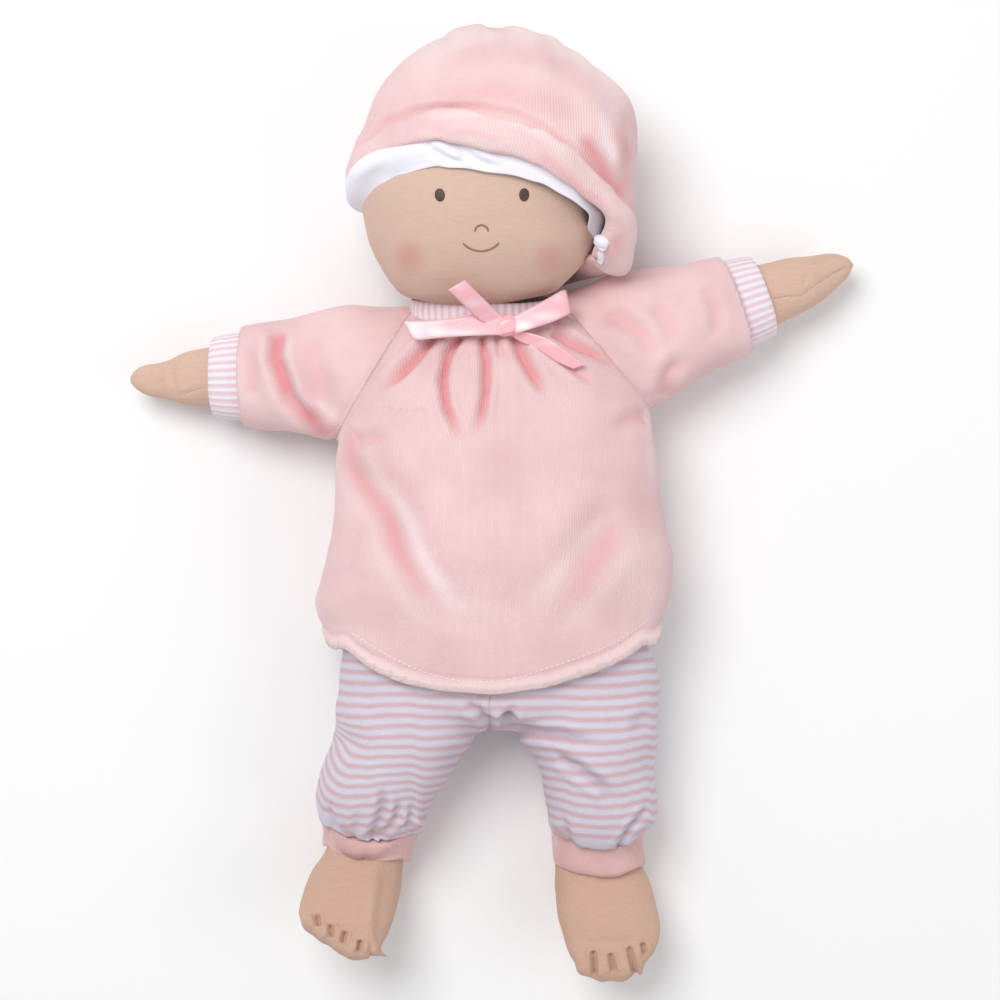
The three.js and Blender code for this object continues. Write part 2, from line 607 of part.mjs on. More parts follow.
for (const { side, form, raglan, mirror } of arms) {
  const along = form.spine.getTangent(0).setZ(0).normalize();
  const pivot = form.spine.getPoint(0).addScaledVector(along, ARM.pivotOut);
  pivot.x *= mirror;
  const liftAxis = new THREE.Vector3(along.y, -along.x * mirror, 0).multiplyScalar(mirror);
  const armStuffed = stuffed(form, DENSITY.arm);
  const armSolid = clearedFor(armStuffed, torsoGrown, pivot, liftAxis, ARM_LIFT_DEGREES);
  const sleeveForm = { ...form, ease: SLEEVE.ease, easeShares: SLEEVE_EASE_SHARES, roundShares: undefined };
  const reach = form.spine.getLength();
  const sleeveShares = { start: -SLEEVE.inside / reach, end: SLEEVE.end / reach };
  const cuffShares = { start: CUFF.start / reach, end: CUFF.end / reach };
  const sleeve = tube(sleeveForm, sleeveShares, DENSITY.sleeve, { wall: VELOUR })
    .subtract(raglanSolid(raglan, mirror, false))
    .subtract(torsoGrown)
    .subtract(neckOpening)
    .subtract(stuffed(form, DENSITY.arm, CLEARANCE));
  const cuffOptions = { grow: CUFF.bulge, wall: CUFF.bulge - 2 * CLEARANCE, lip: CUFF.lip };
  const cuff = tube(form, cuffShares, DENSITY.ring, cuffOptions);
  addPiece(`${side}_arm`, armSolid, COLOURS.skin);
  addPiece(`${side}_sleeve`, aboveHeight(sleeve, CLEARANCE), COLOURS.velour);
  addPiece(`${side}_cuff`, cuff, COLOURS.stripe);
}

// Where an edge crosses a form at an angle, between its front, back and two sides
function edgeAt(shares, angle) {
  const side = (shares.first + shares.second) / 2 + (Math.cos(angle) * (shares.first - shares.second)) / 2;
  const height = Math.sin(angle);
  const target = height > 0 ? shares.front : shares.back;
  return side + (target - side) * Math.abs(height) ** EDGE_RISE_POWER;
}

// Rings that run from one curved edge of a form to another
function edgedRings(form, low, high, stations, around, grow, fold) {
  return stations.map((v) => Array.from({ length: around }, (_, i) => {
    const angle = (2 * Math.PI * i) / around;
    const from = edgeAt(low, angle);
    const share = from + (edgeAt(high, angle) - from) * v;
    return pointOn(form, share, angle, grow + (fold ? fold(v, angle) : 0));
  }));
}

// Cloth between two curved edges. A closed top is left out of the inner face's overrun
function edgedCloth(form, low, high, [around, steps], { grow = 0, wall, fold, closedTop = false }) {
  const past = 1 / steps;
  const top = closedTop ? 1 - TIP_SHARE : 1;
  const stations = spread(0, top, steps, false);
  const inside = closedTop ? [-past, ...stations] : [-past, ...stations, 1 + past];
  const outer = ringSolid(edgedRings(form, low, high, stations, around, grow, fold));
  return outer.subtract(ringSolid(edgedRings(form, low, high, inside, around, grow - wall, fold)));
}

// A padded roll that follows a curved edge on a form's face
function roll(form, edge, [around, sides], { width, thickness, grow = 0 }) {
  const step = EDGE_STEP_SHARE;
  const down = width / 2 / form.spine.getLength();
  return loopSolid(Array.from({ length: around }, (_, i) => {
    const angle = (2 * Math.PI * i) / around;
    const share = edgeAt(edge, angle) - down;
    const seat = pointOn(form, share, angle);
    const along = pointOn(form, share + step, angle).sub(pointOn(form, share - step, angle)).normalize();
    const across = pointOn(form, share, angle + step).sub(pointOn(form, share, angle - step)).normalize();
    const outward = across.cross(along).normalize();
    const centre = seat.addScaledVector(outward, thickness / 2);
    return Array.from({ length: sides }, (_unused, k) => {
      const turn = (2 * Math.PI * k) / sides;
      const point = centre.clone().addScaledVector(along, Math.cos(turn) * (width / 2 + grow));
      return point.addScaledVector(outward, Math.sin(turn) * (thickness / 2 + grow));
    });
  }));
}

// Smock: gathered under the neckband, flared at the hem, split at its side seams
const smockForm = { ...torsoForm, ease: SMOCK.ease, easeShares: SMOCK_EASE_SHARES };

function gatherFold(v, angle) {
  const fade = THREE.MathUtils.smoothstep(v, FOLD_SHARES.start, FOLD_SHARES.full);
  const front = Math.max(Math.sin(angle), 0);
  return -SMOCK.foldDepth * fade * front * (1 + Math.cos(angle * GATHER_COUNT * 2)) / 2;
}

function smockShell(density) {
  return edgedCloth(smockForm, HEM_SHARES, SMOCK_TOP_SHARES, density, { wall: VELOUR, fold: gatherFold });
}

// The smock keeps clear of what it hangs over
const seatForm = { ...torsoForm, ease: SEAT.ease, easeShares: SEAT_EASE_SHARES };
const seatStations = spread(SEAT_SHARES.start, SEAT_SHARES.end, DENSITY.seat[1], false);
const seatGrown = ringSolid(seatStations.map((s) => ringAt(seatForm, s, DENSITY.seat[0], CLEARANCE)));
const underSmock = torsoGrown.add(seatGrown);

let smockFront = aboveHeight(smockShell(DENSITY.smockFront), SIDE_SEAM_Z + CLEARANCE / 2);
let smockBack = belowHeight(smockShell(DENSITY.smockBack), SIDE_SEAM_Z - CLEARANCE / 2);
for (const { form, raglan, mirror } of arms) {
  const armhole = raglanSolid(raglan, mirror, true).add(stuffed(form, DENSITY.arm, ARMHOLE_ROOM));
  smockFront = smockFront.subtract(armhole).subtract(underSmock);
  smockBack = smockBack.subtract(armhole).subtract(underSmock);
}
addPiece('smock_front', smockFront, COLOURS.velour);
addPiece('smock_back', aboveHeight(smockBack, 0), COLOURS.velour);

// Trousers: a waist under the smock, then two legs that meet at the centre seam
const waist = tube(seatForm, SEAT_SHARES, DENSITY.seat, { wall: JERSEY }).subtract(torsoGrown);
addPiece('trouser_waist', waist, COLOURS.stripe);

const hipsForm = {
  ...HIPS, outlineShares: HIPS_OUTLINE_SHARES, roundShares: HIPS_ROUND_SHARES, squareness: 2.5,
  spine: lineAlongY(0, HIPS.top, -HIPS.length),
};

function hipsRings(grow, from) {
  const stations = spread(from, 1 - TIP_SHARE, DENSITY.hips[1], false);
  return ringSolid(stations.map((s) => ringAt(hipsForm, s, DENSITY.hips[0], grow)));
}

for (const { side, form, mirror } of legs) {
  const trouserForm = {
    ...form, ease: TROUSER_LEG.ease, easeShares: TROUSER_LEG_EASE_SHARES, roundShares: undefined,
  };
  const shares = spread(TROUSER_LEG_SHARES.start, TROUSER_LEG_SHARES.end, DENSITY.trouserLeg[1], false);
  const past = shares[1] - shares[0];
  const around = DENSITY.trouserLeg[0];
  const legRings = (list, grow) => ringSolid(list.map((s) => ringAt(trouserForm, s, around, grow)));
  const seam = HIPS.seamX + (mirror * CLEARANCE) / 2;
  const low = new THREE.Vector3(mirror > 0 ? -OVERRUN : seam, -OVERRUN, -OVERRUN);
  const high = new THREE.Vector3(mirror > 0 ? seam : OVERRUN, OVERRUN, OVERRUN);
  const otherHalf = boxSolid(low, high);
  const outer = hipsRings(0, 0).add(legRings(shares, 0)).subtract(otherHalf);
  const hollow = legRings([...shares, shares[shares.length - 1] + past], -JERSEY);
  const inner = hipsRings(-JERSEY, -HIPS_OVERRUN_SHARE).add(hollow);
  const legGrown = stuffed(form, DENSITY.leg, 2 * CLEARANCE);
  const cuffStations = spread(LEG_CUFF_SHARES.start, LEG_CUFF_SHARES.end, DENSITY.ring[1], false);
  const cuffRings = [cuffStations[0] - past, ...cuffStations]
    .map((s) => ringAt(form, s, DENSITY.ring[0], LEG_CUFF.bulge + 2 * CLEARANCE, LEG_CUFF.slant));
  const trouser = outer.subtract(inner).subtract(torsoGrown).subtract(legGrown)
    .subtract(ringSolid(cuffRings));
  const legSolid = aboveHeight(stuffed(form, DENSITY.leg), 0);
  const cuffOptions = {
    grow: LEG_CUFF.bulge, wall: LEG_CUFF.bulge - CLEARANCE, lip: LEG_CUFF.lip, slant: LEG_CUFF.slant,
  };
  const cuff = tube(form, LEG_CUFF_SHARES, DENSITY.ring, cuffOptions).subtract(legGrown);
  addPiece(`${side}_leg`, legSolid, COLOURS.skin);
  addPiece(`${side}_trouser_leg`, aboveHeight(trouser, CLEARANCE), COLOURS.stripe);
  addPiece(`${side}_leg_cuff`, aboveHeight(cuff, CLEARANCE), COLOURS.velour);
}

addPiece('neckband', neckbandSolid.subtract(torsoGrown), COLOURS.stripe);

// Bow: two loops, two tails and the knot, of one ribbon
const bowY = TORSO.length - BOW.neckDrop;
const bowZ = NECK.z + NECKBAND.halfDepth + RIB_KNIT + BOW.lift + BOW.knotHeight / 2;

function placeOnBow(shape, turnDegrees) {
  const options = { depth: BOW.width, bevelEnabled: false, curveSegments: 10 };
  const geometry = new THREE.ExtrudeGeometry(shape, options);
  geometry.translate(0, 0, -BOW.width / 2);
  geometry.rotateX(Math.PI / 2);
  geometry.rotateZ(THREE.MathUtils.degToRad(turnDegrees));
  geometry.translate(BOW.x, bowY, bowZ);
  return solidOf(geometry);
}

function bowLoop({ reach, gape, turnDegrees }) {
  const start = BOW.knotLength / 2 + CLEARANCE;
  const radius = (reach - start) / 2;
  const shape = new THREE.Shape();
  shape.absellipse(start + radius, 0, radius, gape / 2, 0, 2 * Math.PI, false, 0);
  const inside = new THREE.Path();
  inside.absellipse(start + radius, 0, radius - RIBBON, gape / 2 - RIBBON, 0, 2 * Math.PI, false, 0);
  shape.holes.push(inside);
  return placeOnBow(shape, turnDegrees);
}

function bowTail({ reach, rise, drop, turnDegrees }) {
  const start = BOW.knotLength / 2 + CLEARANCE;
  const steps = 6;
  const path = Array.from({ length: steps + 1 }, (_, i) => {
    const t = i / steps;
    return new THREE.Vector2(start + (reach - start) * t, rise * t * (2 - t) - drop);
  });
  const over = path.map((p) => new THREE.Vector2(p.x, p.y + RIBBON / 2));
  const under = path.map((p) => new THREE.Vector2(p.x, p.y - RIBBON / 2)).reverse();
  return placeOnBow(new THREE.Shape([...under, ...over]), turnDegrees);
}

const knotForm = {
  halfWidth: BOW.width / 2, depth: BOW.knotHeight, back: bowZ, squareness: 3,
  outlineShares: [[0, 1, 1, 0.5, -0.5], [1, 1, 1, 0.5, -0.5]], roundShares: { start: 0.2, end: 0.2 },
  spine: new THREE.LineCurve3(
    new THREE.Vector3(BOW.x - BOW.knotLength / 2, bowY, 0),
    new THREE.Vector3(BOW.x + BOW.knotLength / 2, bowY, 0),
  ),
};
addPiece('bow_knot', stuffed(knotForm, DENSITY.knot), COLOURS.ribbon, 0.3);
addPiece('bow_loop_right', bowLoop(LEFT_LOOP), COLOURS.ribbon, 0.3);
addPiece('bow_loop_left', bowLoop(RIGHT_LOOP), COLOURS.ribbon, 0.3);
addPiece('bow_tail_upper', bowTail(UPPER_TAIL), COLOURS.ribbon, 0.3);
addPiece('bow_tail_lower', bowTail(LOWER_TAIL), COLOURS.ribbon, 0.3);

// Hat: crown gathered at its top, rolled brim, and a lining turned out below the brim
const hatForm = {
  halfWidth: HEAD.halfWidth, depth: HEAD.depth, back: HEAD.back,
  spine: lineAlongY(HEAD.x, headForm.spine.getPoint(0).y + HAT.nape, HAT.length),
  outlineShares: HAT_OUTLINE_SHARES, roundShares: HAT_ROUND_SHARES, squareness: 2.2,
};

function crownFold(v, angle) {
  const fade = THREE.MathUtils.smoothstep(v, FOLD_SHARES.start, FOLD_SHARES.full);
  return HAT.gatherDepth * fade * Math.cos(angle * CROWN_GATHERS);
}

const crownTop = { front: 1, back: 1, first: 1, second: 1 };
const crown = edgedCloth(hatForm, HAT_EDGE_SHARES, crownTop, DENSITY.hat, {
  grow: VELOUR, wall: VELOUR, fold: crownFold, closedTop: true,
}).subtract(roll(hatForm, HAT_EDGE_SHARES, DENSITY.brim, { ...BRIM, grow: CLEARANCE }));
addPiece('hat_crown', aboveHeight(crown, 0), COLOURS.velour);
addPiece('hat_brim', aboveHeight(roll(hatForm, HAT_EDGE_SHARES, DENSITY.brim, BRIM), 0), COLOURS.velour);

const tucked = Object.fromEntries(
  Object.entries(HAT_EDGE_SHARES).map(([place, share]) => [place, share + LINING_TUCK_SHARE]),
);
const lining = edgedCloth(hatForm, LINING_EDGE_SHARES, tucked, DENSITY.lining, {
  grow: -CLEARANCE, wall: JERSEY,
});
addPiece('hat_lining', lining, COLOURS.white);

const box = new THREE.Box3().setFromObject(doll);
const middle = box.getCenter(new THREE.Vector3());
doll.position.set(-middle.x, -middle.y, -box.min.z);
doll.updateMatrixWorld(true);

export default doll;
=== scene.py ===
# %% [markdown]
# # A soft baby doll
# The doll lies on its back, seen from straight above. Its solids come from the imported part,
# and this lesson dresses them: stuffed jersey, velour with its pile, striped knit and satin.
# Every length here is in millimetres until a mesh is made, because that is how a toy is cut.

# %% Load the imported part
import math

import bmesh
import bpy
import numpy as np
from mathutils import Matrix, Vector
from mathutils.bvhtree import BVHTree
from mathutils.kdtree import KDTree


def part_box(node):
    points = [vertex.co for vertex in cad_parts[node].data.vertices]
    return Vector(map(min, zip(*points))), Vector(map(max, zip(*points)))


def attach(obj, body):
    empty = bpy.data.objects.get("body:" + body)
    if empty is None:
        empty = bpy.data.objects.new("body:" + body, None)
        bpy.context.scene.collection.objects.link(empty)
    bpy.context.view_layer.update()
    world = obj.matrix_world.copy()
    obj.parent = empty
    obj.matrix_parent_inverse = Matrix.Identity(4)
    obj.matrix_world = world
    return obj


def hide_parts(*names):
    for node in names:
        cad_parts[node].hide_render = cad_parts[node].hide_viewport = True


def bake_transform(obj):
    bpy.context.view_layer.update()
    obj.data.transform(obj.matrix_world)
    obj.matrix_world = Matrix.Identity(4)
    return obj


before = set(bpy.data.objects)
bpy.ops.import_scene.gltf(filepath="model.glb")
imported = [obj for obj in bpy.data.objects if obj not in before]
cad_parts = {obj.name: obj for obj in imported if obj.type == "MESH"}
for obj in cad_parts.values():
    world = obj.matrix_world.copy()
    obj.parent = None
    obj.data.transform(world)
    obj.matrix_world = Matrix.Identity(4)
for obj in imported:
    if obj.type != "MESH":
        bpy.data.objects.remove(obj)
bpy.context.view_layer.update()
MM = 0.001

# %% [markdown]
# ## Camera
# A camera straight above sees the doll as on a table. It comes first, so that everything
# after it can be judged through the same lens. A long lens keeps the head from swelling.

# %% Camera
CAMERA_HEIGHT = 890.0
CAMERA_OFF_CENTRE = (3.1, 2.8)
LENS = 85.0


def place_camera():
    data = bpy.data.cameras.new("camera")
    data.lens = LENS
    data.sensor_width = 36.0
    data.clip_start = 0.01
    camera = bpy.data.objects.new("camera", data)
    camera.location = [value * MM for value in (*CAMERA_OFF_CENTRE, CAMERA_HEIGHT)]
    bpy.context.collection.objects.link(camera)
    bpy.context.scene.camera = camera
    return camera


camera = place_camera()
print("camera at", tuple(round(v, 3) for v in camera.location))

# %% [markdown]
# ## Light and floor
# Soft studio light is one large lamp and a bright world. The floor is a pale sheet that
# keeps the soft shadow. Camera rays see the world as plain white, which doesn't light the doll.

# %% Light and floor
WORLD_STRENGTH = 0.53
KEY_WATTS = 8.6
FILL_WATTS = 2.2


def light_world():
    world = bpy.data.worlds.new("studio")
    bpy.context.scene.world = world
    world.use_nodes = True
    tree = world.node_tree
    tree.nodes.clear()
    rays = tree.nodes.new("ShaderNodeLightPath")
    seen = tree.nodes.new("ShaderNodeMath")
    seen.operation = "MAXIMUM"
    tree.links.new(rays.outputs["Is Camera Ray"], seen.inputs[0])
    tree.links.new(rays.outputs["Is Glossy Ray"], seen.inputs[1])
    dim = tree.nodes.new("ShaderNodeBackground")
    dim.inputs["Color"].default_value = (0.98, 0.99, 1.0, 1.0)
    dim.inputs["Strength"].default_value = WORLD_STRENGTH
    white = tree.nodes.new("ShaderNodeBackground")
    white.inputs["Color"].default_value = (1.0, 1.0, 1.0, 1.0)
    mix = tree.nodes.new("ShaderNodeMixShader")
    out = tree.nodes.new("ShaderNodeOutputWorld")
    tree.links.new(seen.outputs[0], mix.inputs[0])
    tree.links.new(dim.outputs[0], mix.inputs[1])
    tree.links.new(white.outputs[0], mix.inputs[2])
    tree.links.new(mix.outputs[0], out.inputs["Surface"])


def add_lamp(name, place, size, watts):
    data = bpy.data.lights.new(name, "AREA")
    data.shape = "DISK"
    data.size = size
    data.energy = watts
    lamp = bpy.data.objects.new(name, data)
    lamp.location = place
    lamp.rotation_euler = (-Vector(place)).to_track_quat("-Z", "Y").to_euler()
    bpy.context.collection.objects.link(lamp)
    return lamp


light_world()
add_lamp("key_lamp", (-0.35, 0.45, 1.1), 0.7, KEY_WATTS)
add_lamp("fill_lamp", (0.9, -0.3, 0.8), 0.8, FILL_WATTS)
bpy.context.scene.view_settings.view_transform = "Standard"

# %% [markdown]
# ## Shader helpers
# Materials are networks of small steps, so two helpers keep them short: one adds a node
# with its settings and inputs, the other opens a material. Colours are written as they
# look on a screen and turned into the linear values that light works with.

# %% Shader helpers
def linear(red, green, blue):
    """A screen colour, 0 to 255, as the linear colour that shaders take."""
    def channel(value):
        share = value / 255
        return share / 12.92 if share <= 0.04045 else ((share + 0.055) / 1.055) ** 2.4
    return (channel(red), channel(green), channel(blue), 1.0)


def add(tree, kind, inputs=None, **settings):
    """Adds a node. An input is a value, or another node's socket to link from."""
    node = tree.nodes.new(kind)
    for key, value in settings.items():
        setattr(node, key, value)
    for key, value in (inputs or {}).items():
        if isinstance(value, bpy.types.NodeSocket):
            tree.links.new(value, node.inputs[key])
        else:
            node.inputs[key].default_value = value
    return node


def math_node(tree, operation, first, second=0.0, clamp=False):
    node = add(tree, "ShaderNodeMath", {0: first, 1: second}, operation=operation, use_clamp=clamp)
    return node.outputs[0]


def mix_colour(tree, share, first, second, blend="MIX"):
    node = add(tree, "ShaderNodeMix", data_type="RGBA", blend_type=blend)
    for socket, value in ((node.inputs[0], share), (node.inputs[6], first), (node.inputs[7], second)):
        if isinstance(value, bpy.types.NodeSocket):
            tree.links.new(value, socket)
        else:
            socket.default_value = value
    return node.outputs[2]


def open_material(name, **sockets):
    """A material with its Principled shader. Plain values go straight to the shader's sockets."""
    material = bpy.data.materials.new(name)
    material.use_nodes = True
    tree = material.node_tree
    shader = tree.nodes["Principled BSDF"]
    for key, value in sockets.items():
        shader.inputs[key.replace("_", " ")].default_value = value
    return material, tree, shader


def finish_surface(tree, shader, base, height, strength, distance):
    """Links a material's colour, and its fine relief as bump."""
    tree.links.new(base, shader.inputs["Base Color"])
    bump = add(tree, "ShaderNodeBump", {"Height": height, "Strength": strength, "Distance": distance})
    tree.links.new(bump.outputs[0], shader.inputs["Normal"])


def open_group(name, inputs, outputs):
    """A node group with named sockets, each given as name, type and starting value."""
    tree = bpy.data.node_groups.new(name, "ShaderNodeTree")
    for label, kind, value in inputs:
        socket = tree.interface.new_socket(label, in_out="INPUT", socket_type="NodeSocket" + kind)
        if value is not None:
            socket.default_value = value
    for label, kind in outputs:
        tree.interface.new_socket(label, in_out="OUTPUT", socket_type="NodeSocket" + kind)
    return tree, tree.nodes.new("NodeGroupInput").outputs, tree.nodes.new("NodeGroupOutput").inputs


def use_group(tree, group, inputs):
    return add(tree, "ShaderNodeGroup", inputs, node_tree=group).outputs


def set_up_floor():
    """A pale sheet that keeps the doll's soft shadow."""
    material = open_material("floor", Base_Color=(0.93, 0.93, 0.93, 1.0), Roughness=0.9)[0]
    bpy.ops.mesh.primitive_plane_add(size=6.0, location=(0, 0, -0.0004))
    floor = bpy.context.object
    floor.name = "floor"
    floor.data.materials.append(material)
    return floor


floor = set_up_floor()
print("floor:", floor.name)

# %% [markdown]
# ## Knit and pile, as node groups
# Three effects come back on many pieces. Jersey is a fine knit of small loops, velour is a
# pile that stands on thin ribs called wales, and stripes are two yarn colours taking turns.
# Each is a group that puts out heights and masks only, so every material can use it its own way.

# %% The jersey group
def make_jersey_group():
    tree, given, out = open_group(
        "jersey knit",
        [("Vector", "Vector", None), ("Loop", "Float", 1.0)],
        [("Height", "Float"), ("Slub", "Float")],
    )
    loops = add(tree, "ShaderNodeVectorMath", {0: given["Vector"], "Scale": 1400.0}, operation="SCALE")
    fine = add(tree, "ShaderNodeTexNoise", {"Vector": loops.outputs[0], "Scale": 1.6, "Detail": 3.0})
    drawn = add(tree, "ShaderNodeMapping", {"Vector": given["Vector"], "Scale": (260.0, 1500.0, 1500.0)})
    slub = add(tree, "ShaderNodeTexNoise", {"Vector": drawn.outputs[0], "Scale": 1.0, "Detail": 2.0})
    both = math_node(tree, "ADD", fine.outputs["Fac"], slub.outputs["Fac"])
    height = math_node(tree, "MULTIPLY", both, given["Loop"])
    tree.links.new(height, out["Height"])
    tree.links.new(slub.outputs["Fac"], out["Slub"])
    return tree


jersey_group = make_jersey_group()
print("group:", jersey_group.name)

# %% The velour group
def make_velour_group():
    """Across is the distance round the piece in metres: it carries the wales."""
    tree, given, out = open_group(
        "velour pile",
        [("Vector", "Vector", None), ("Across", "Float", 0.0), ("Wale", "Float", 0.0011)],
        [("Height", "Float"), ("Wales", "Float"), ("Shade", "Float")],
    )
    clumps = add(tree, "ShaderNodeTexNoise", {"Vector": given["Vector"], "Scale": 900.0, "Detail": 4.0})
    patches = add(tree, "ShaderNodeTexNoise", {"Vector": given["Vector"], "Scale": 34.0, "Detail": 5.0,
                                               "Roughness": 0.5})
    sway = math_node(tree, "MULTIPLY", clumps.outputs["Fac"], 0.55)
    turns = math_node(tree, "DIVIDE", given["Across"], given["Wale"])
    angle = math_node(tree, "MULTIPLY", math_node(tree, "ADD", turns, sway), 2 * math.pi)
    wave = math_node(tree, "COSINE", angle)
    wales = math_node(tree, "MULTIPLY_ADD", wave, 0.5)
    tree.nodes[-1].inputs[2].default_value = 0.5
    broken = math_node(tree, "MULTIPLY", wales, patches.outputs["Fac"])
    height = math_node(tree, "ADD", math_node(tree, "MULTIPLY", broken, 0.9), clumps.outputs["Fac"])
    tree.links.new(height, out["Height"])
    tree.links.new(broken, out["Wales"])
    tree.links.new(patches.outputs["Fac"], out["Shade"])
    return tree


velour_group = make_velour_group()
print("group:", velour_group.name)

# %% The stripe group
def make_stripe_group():
    tree, given, out = open_group(
        "yarn stripes",
        [("Along", "Float", 0.0), ("Pitch", "Float", 0.004), ("Share", "Float", 0.5),
         ("Softness", "Float", 0.08)],
        [("Mask", "Float")],
    )
    turns = math_node(tree, "DIVIDE", given["Along"], given["Pitch"])
    place = math_node(tree, "FRACT", turns)
    middle = math_node(tree, "ABSOLUTE", math_node(tree, "SUBTRACT", place, 0.5))
    edge = math_node(tree, "MULTIPLY", given["Share"], 0.5)
    past = math_node(tree, "SUBTRACT", edge, middle)
    ramp = math_node(tree, "DIVIDE", past, given["Softness"])
    mask = math_node(tree, "ADD", ramp, 0.5, clamp=True)
    tree.links.new(mask, out["Mask"])
    return tree


stripe_group = make_stripe_group()
print("group:", stripe_group.name)

# %% [markdown]
# ## Materials
# Jersey skin is matt and even, with soft blush on the cheeks. Velour is paler where its pile
# catches light along the edges, which the shader's sheen gives. Satin is smooth along its
# weave, so it has a sharp gloss. Bump keeps the finest relief, folds are in the meshes, and
# their depth also paints shade into velour and knit, beside painted sheen and glints.

# %% Jersey materials
def object_place(tree):
    return add(tree, "ShaderNodeTexCoord").outputs["Object"]


def blush_mask(tree, place, centre, radius):
    """A soft round spot about a point of the face, seen from the front."""
    flat = add(tree, "ShaderNodeVectorMath", {0: place, 1: (1.0, 1.0, 0.0)}, operation="MULTIPLY")
    apart = add(tree, "ShaderNodeVectorMath", {0: flat.outputs[0], 1: centre}, operation="DISTANCE")
    ramp = add(tree, "ShaderNodeMapRange", {"Value": apart.outputs["Value"], "From Min": 0.0,
               "From Max": radius, "To Min": 1.0, "To Max": 0.0}, interpolation_type="SMOOTHERSTEP")
    return ramp.outputs[0]


def make_jersey(name, colour, dark, spots=(), bump=0.35):
    material, tree, shader = open_material(
        name, Roughness=0.88, Sheen_Weight=0.12, Sheen_Roughness=0.5, Specular_IOR_Level=0.2)
    place = object_place(tree)
    knit = use_group(tree, jersey_group, {"Vector": place, "Loop": 1.0})
    base = mix_colour(tree, knit["Slub"], dark, colour)
    for centre, radius, tint, strength in spots:
        share = math_node(tree, "MULTIPLY", blush_mask(tree, place, centre, radius), strength)
        base = mix_colour(tree, share, base, tint)
    finish_surface(tree, shader, base, knit["Height"], bump, 0.00025)
    return material


# Places are read off a drawing sheet, 1000 steps wide, that lies at the doll's middle height.
# What stands higher is nearer to the camera, so it reaches further out on the sheet.
SHEET_STEP = 0.365
SHEET_HEIGHT = 28.0
SHEET_MIDDLE = 500.0
CAMERA_PLACE = np.array(camera.location) / MM


def step_at(height):
    """How many millimetres a step of the sheet spans at a height."""
    return SHEET_STEP * (CAMERA_HEIGHT - height) / (CAMERA_HEIGHT - SHEET_HEIGHT)


def on_sheet(x, y, height=SHEET_HEIGHT):
    """The place at a height that is seen at a point of the sheet, in millimetres."""
    step = step_at(height)
    return np.array([CAMERA_PLACE[0] + (x - SHEET_MIDDLE) * step,
                     CAMERA_PLACE[1] + (SHEET_MIDDLE - y) * step, height])


def to_sheet(points):
    """Where points are seen on the sheet, in its steps."""
    step = step_at(points[:, 2])
    return np.stack([SHEET_MIDDLE + (points[:, 0] - CAMERA_PLACE[0]) / step,
                     SHEET_MIDDLE - (points[:, 1] - CAMERA_PLACE[1]) / step], axis=1)


def from_sheet(places, heights):
    """Points at given heights that are seen at places on the sheet."""
    step = step_at(heights)
    return np.stack([CAMERA_PLACE[0] + (places[:, 0] - SHEET_MIDDLE) * step,
                     CAMERA_PLACE[1] + (SHEET_MIDDLE - places[:, 1]) * step, heights], axis=1)


FACE = linear(219, 190, 173)
FACE_DARK = linear(206, 175, 158)
SKIN = linear(222, 189, 170)
SKIN_DARK = linear(207, 172, 153)
# Painted shade: the feet are the same jersey as the hands, set darker because less light reaches them low on
# the doll.
FOOT_SHADED = linear(211, 176, 156)
FOOT_SHADED_DARK = linear(197, 160, 140)
BLUSH = linear(205, 126, 120)
cheeks = [
    (tuple(on_sheet(409, 257, 62) * (MM, MM, 0)), 0.0088, BLUSH, 0.45),
    (tuple(on_sheet(549, 258, 62) * (MM, MM, 0)), 0.0092, BLUSH, 0.36),
]
face_jersey = make_jersey("face_jersey", FACE, FACE_DARK, cheeks)
skin_jersey = make_jersey("skin_jersey", SKIN, SKIN_DARK)
foot_jersey_shaded = make_jersey("foot_jersey_shaded", FOOT_SHADED, FOOT_SHADED_DARK)
white_jersey = make_jersey("white_jersey", linear(246, 245, 252), linear(236, 235, 247), bump=0.2)
print("jersey:", face_jersey.name, skin_jersey.name, white_jersey.name)

# %% Velour materials
VELOUR = linear(239, 207, 207)
VELOUR_DEEP = linear(227, 191, 192)
VELOUR_FOLD_SHADE = linear(228, 148, 153)
VELOUR_PAINTED_SHEEN = linear(248, 226, 225)


def attribute(tree, name):
    return add(tree, "ShaderNodeAttribute", attribute_name=name).outputs["Fac"]


def scaled(tree, value, low, high):
    """A value as a share of the way from low to high, kept between 0 and 1."""
    return add(tree, "ShaderNodeMapRange", {"Value": value, "From Min": low, "From Max": high}).outputs[0]


def make_velour(name, colour, deep, wale=0.0011, bump=0.42, ribbing=0.4):
    """Its attribute holds the depth of a fold in metres, painted in as shade; where it is negative, a napped
    edge or line is painted paler as sheen.
    """
    material, tree, shader = open_material(
        name, Roughness=0.95, Sheen_Weight=0.5, Sheen_Roughness=0.4, Specular_IOR_Level=0.1,
        Sheen_Tint=linear(250, 238, 240))
    place = object_place(tree)
    pile = use_group(tree, velour_group, {"Vector": place, "Across": attribute(tree, "across"),
                                          "Wale": wale})
    base = mix_colour(tree, scaled(tree, pile["Shade"], 0.36, 0.64), deep, colour)
    ribs = math_node(tree, "MULTIPLY", pile["Wales"], ribbing)
    base = mix_colour(tree, ribs, base, deep)
    painted_shade_and_highlight = attribute(tree, "painted_shade_and_highlight")
    # Painted shade: folds are mixed towards a deeper pink by their depth. Painted sheen: napped edges and
    # lines are mixed paler.
    base = mix_colour(tree, scaled(tree, painted_shade_and_highlight, 0.0001, 0.0032), base, VELOUR_FOLD_SHADE)
    base = mix_colour(tree, scaled(tree, painted_shade_and_highlight, 0.0, -0.0014), base, VELOUR_PAINTED_SHEEN)
    finish_surface(tree, shader, base, pile["Height"], bump, 0.0006)
    return material


velour = make_velour("velour", VELOUR, VELOUR_DEEP)
sleeve_velour = make_velour("sleeve_velour", VELOUR, VELOUR_DEEP, bump=0.16, ribbing=0.1)
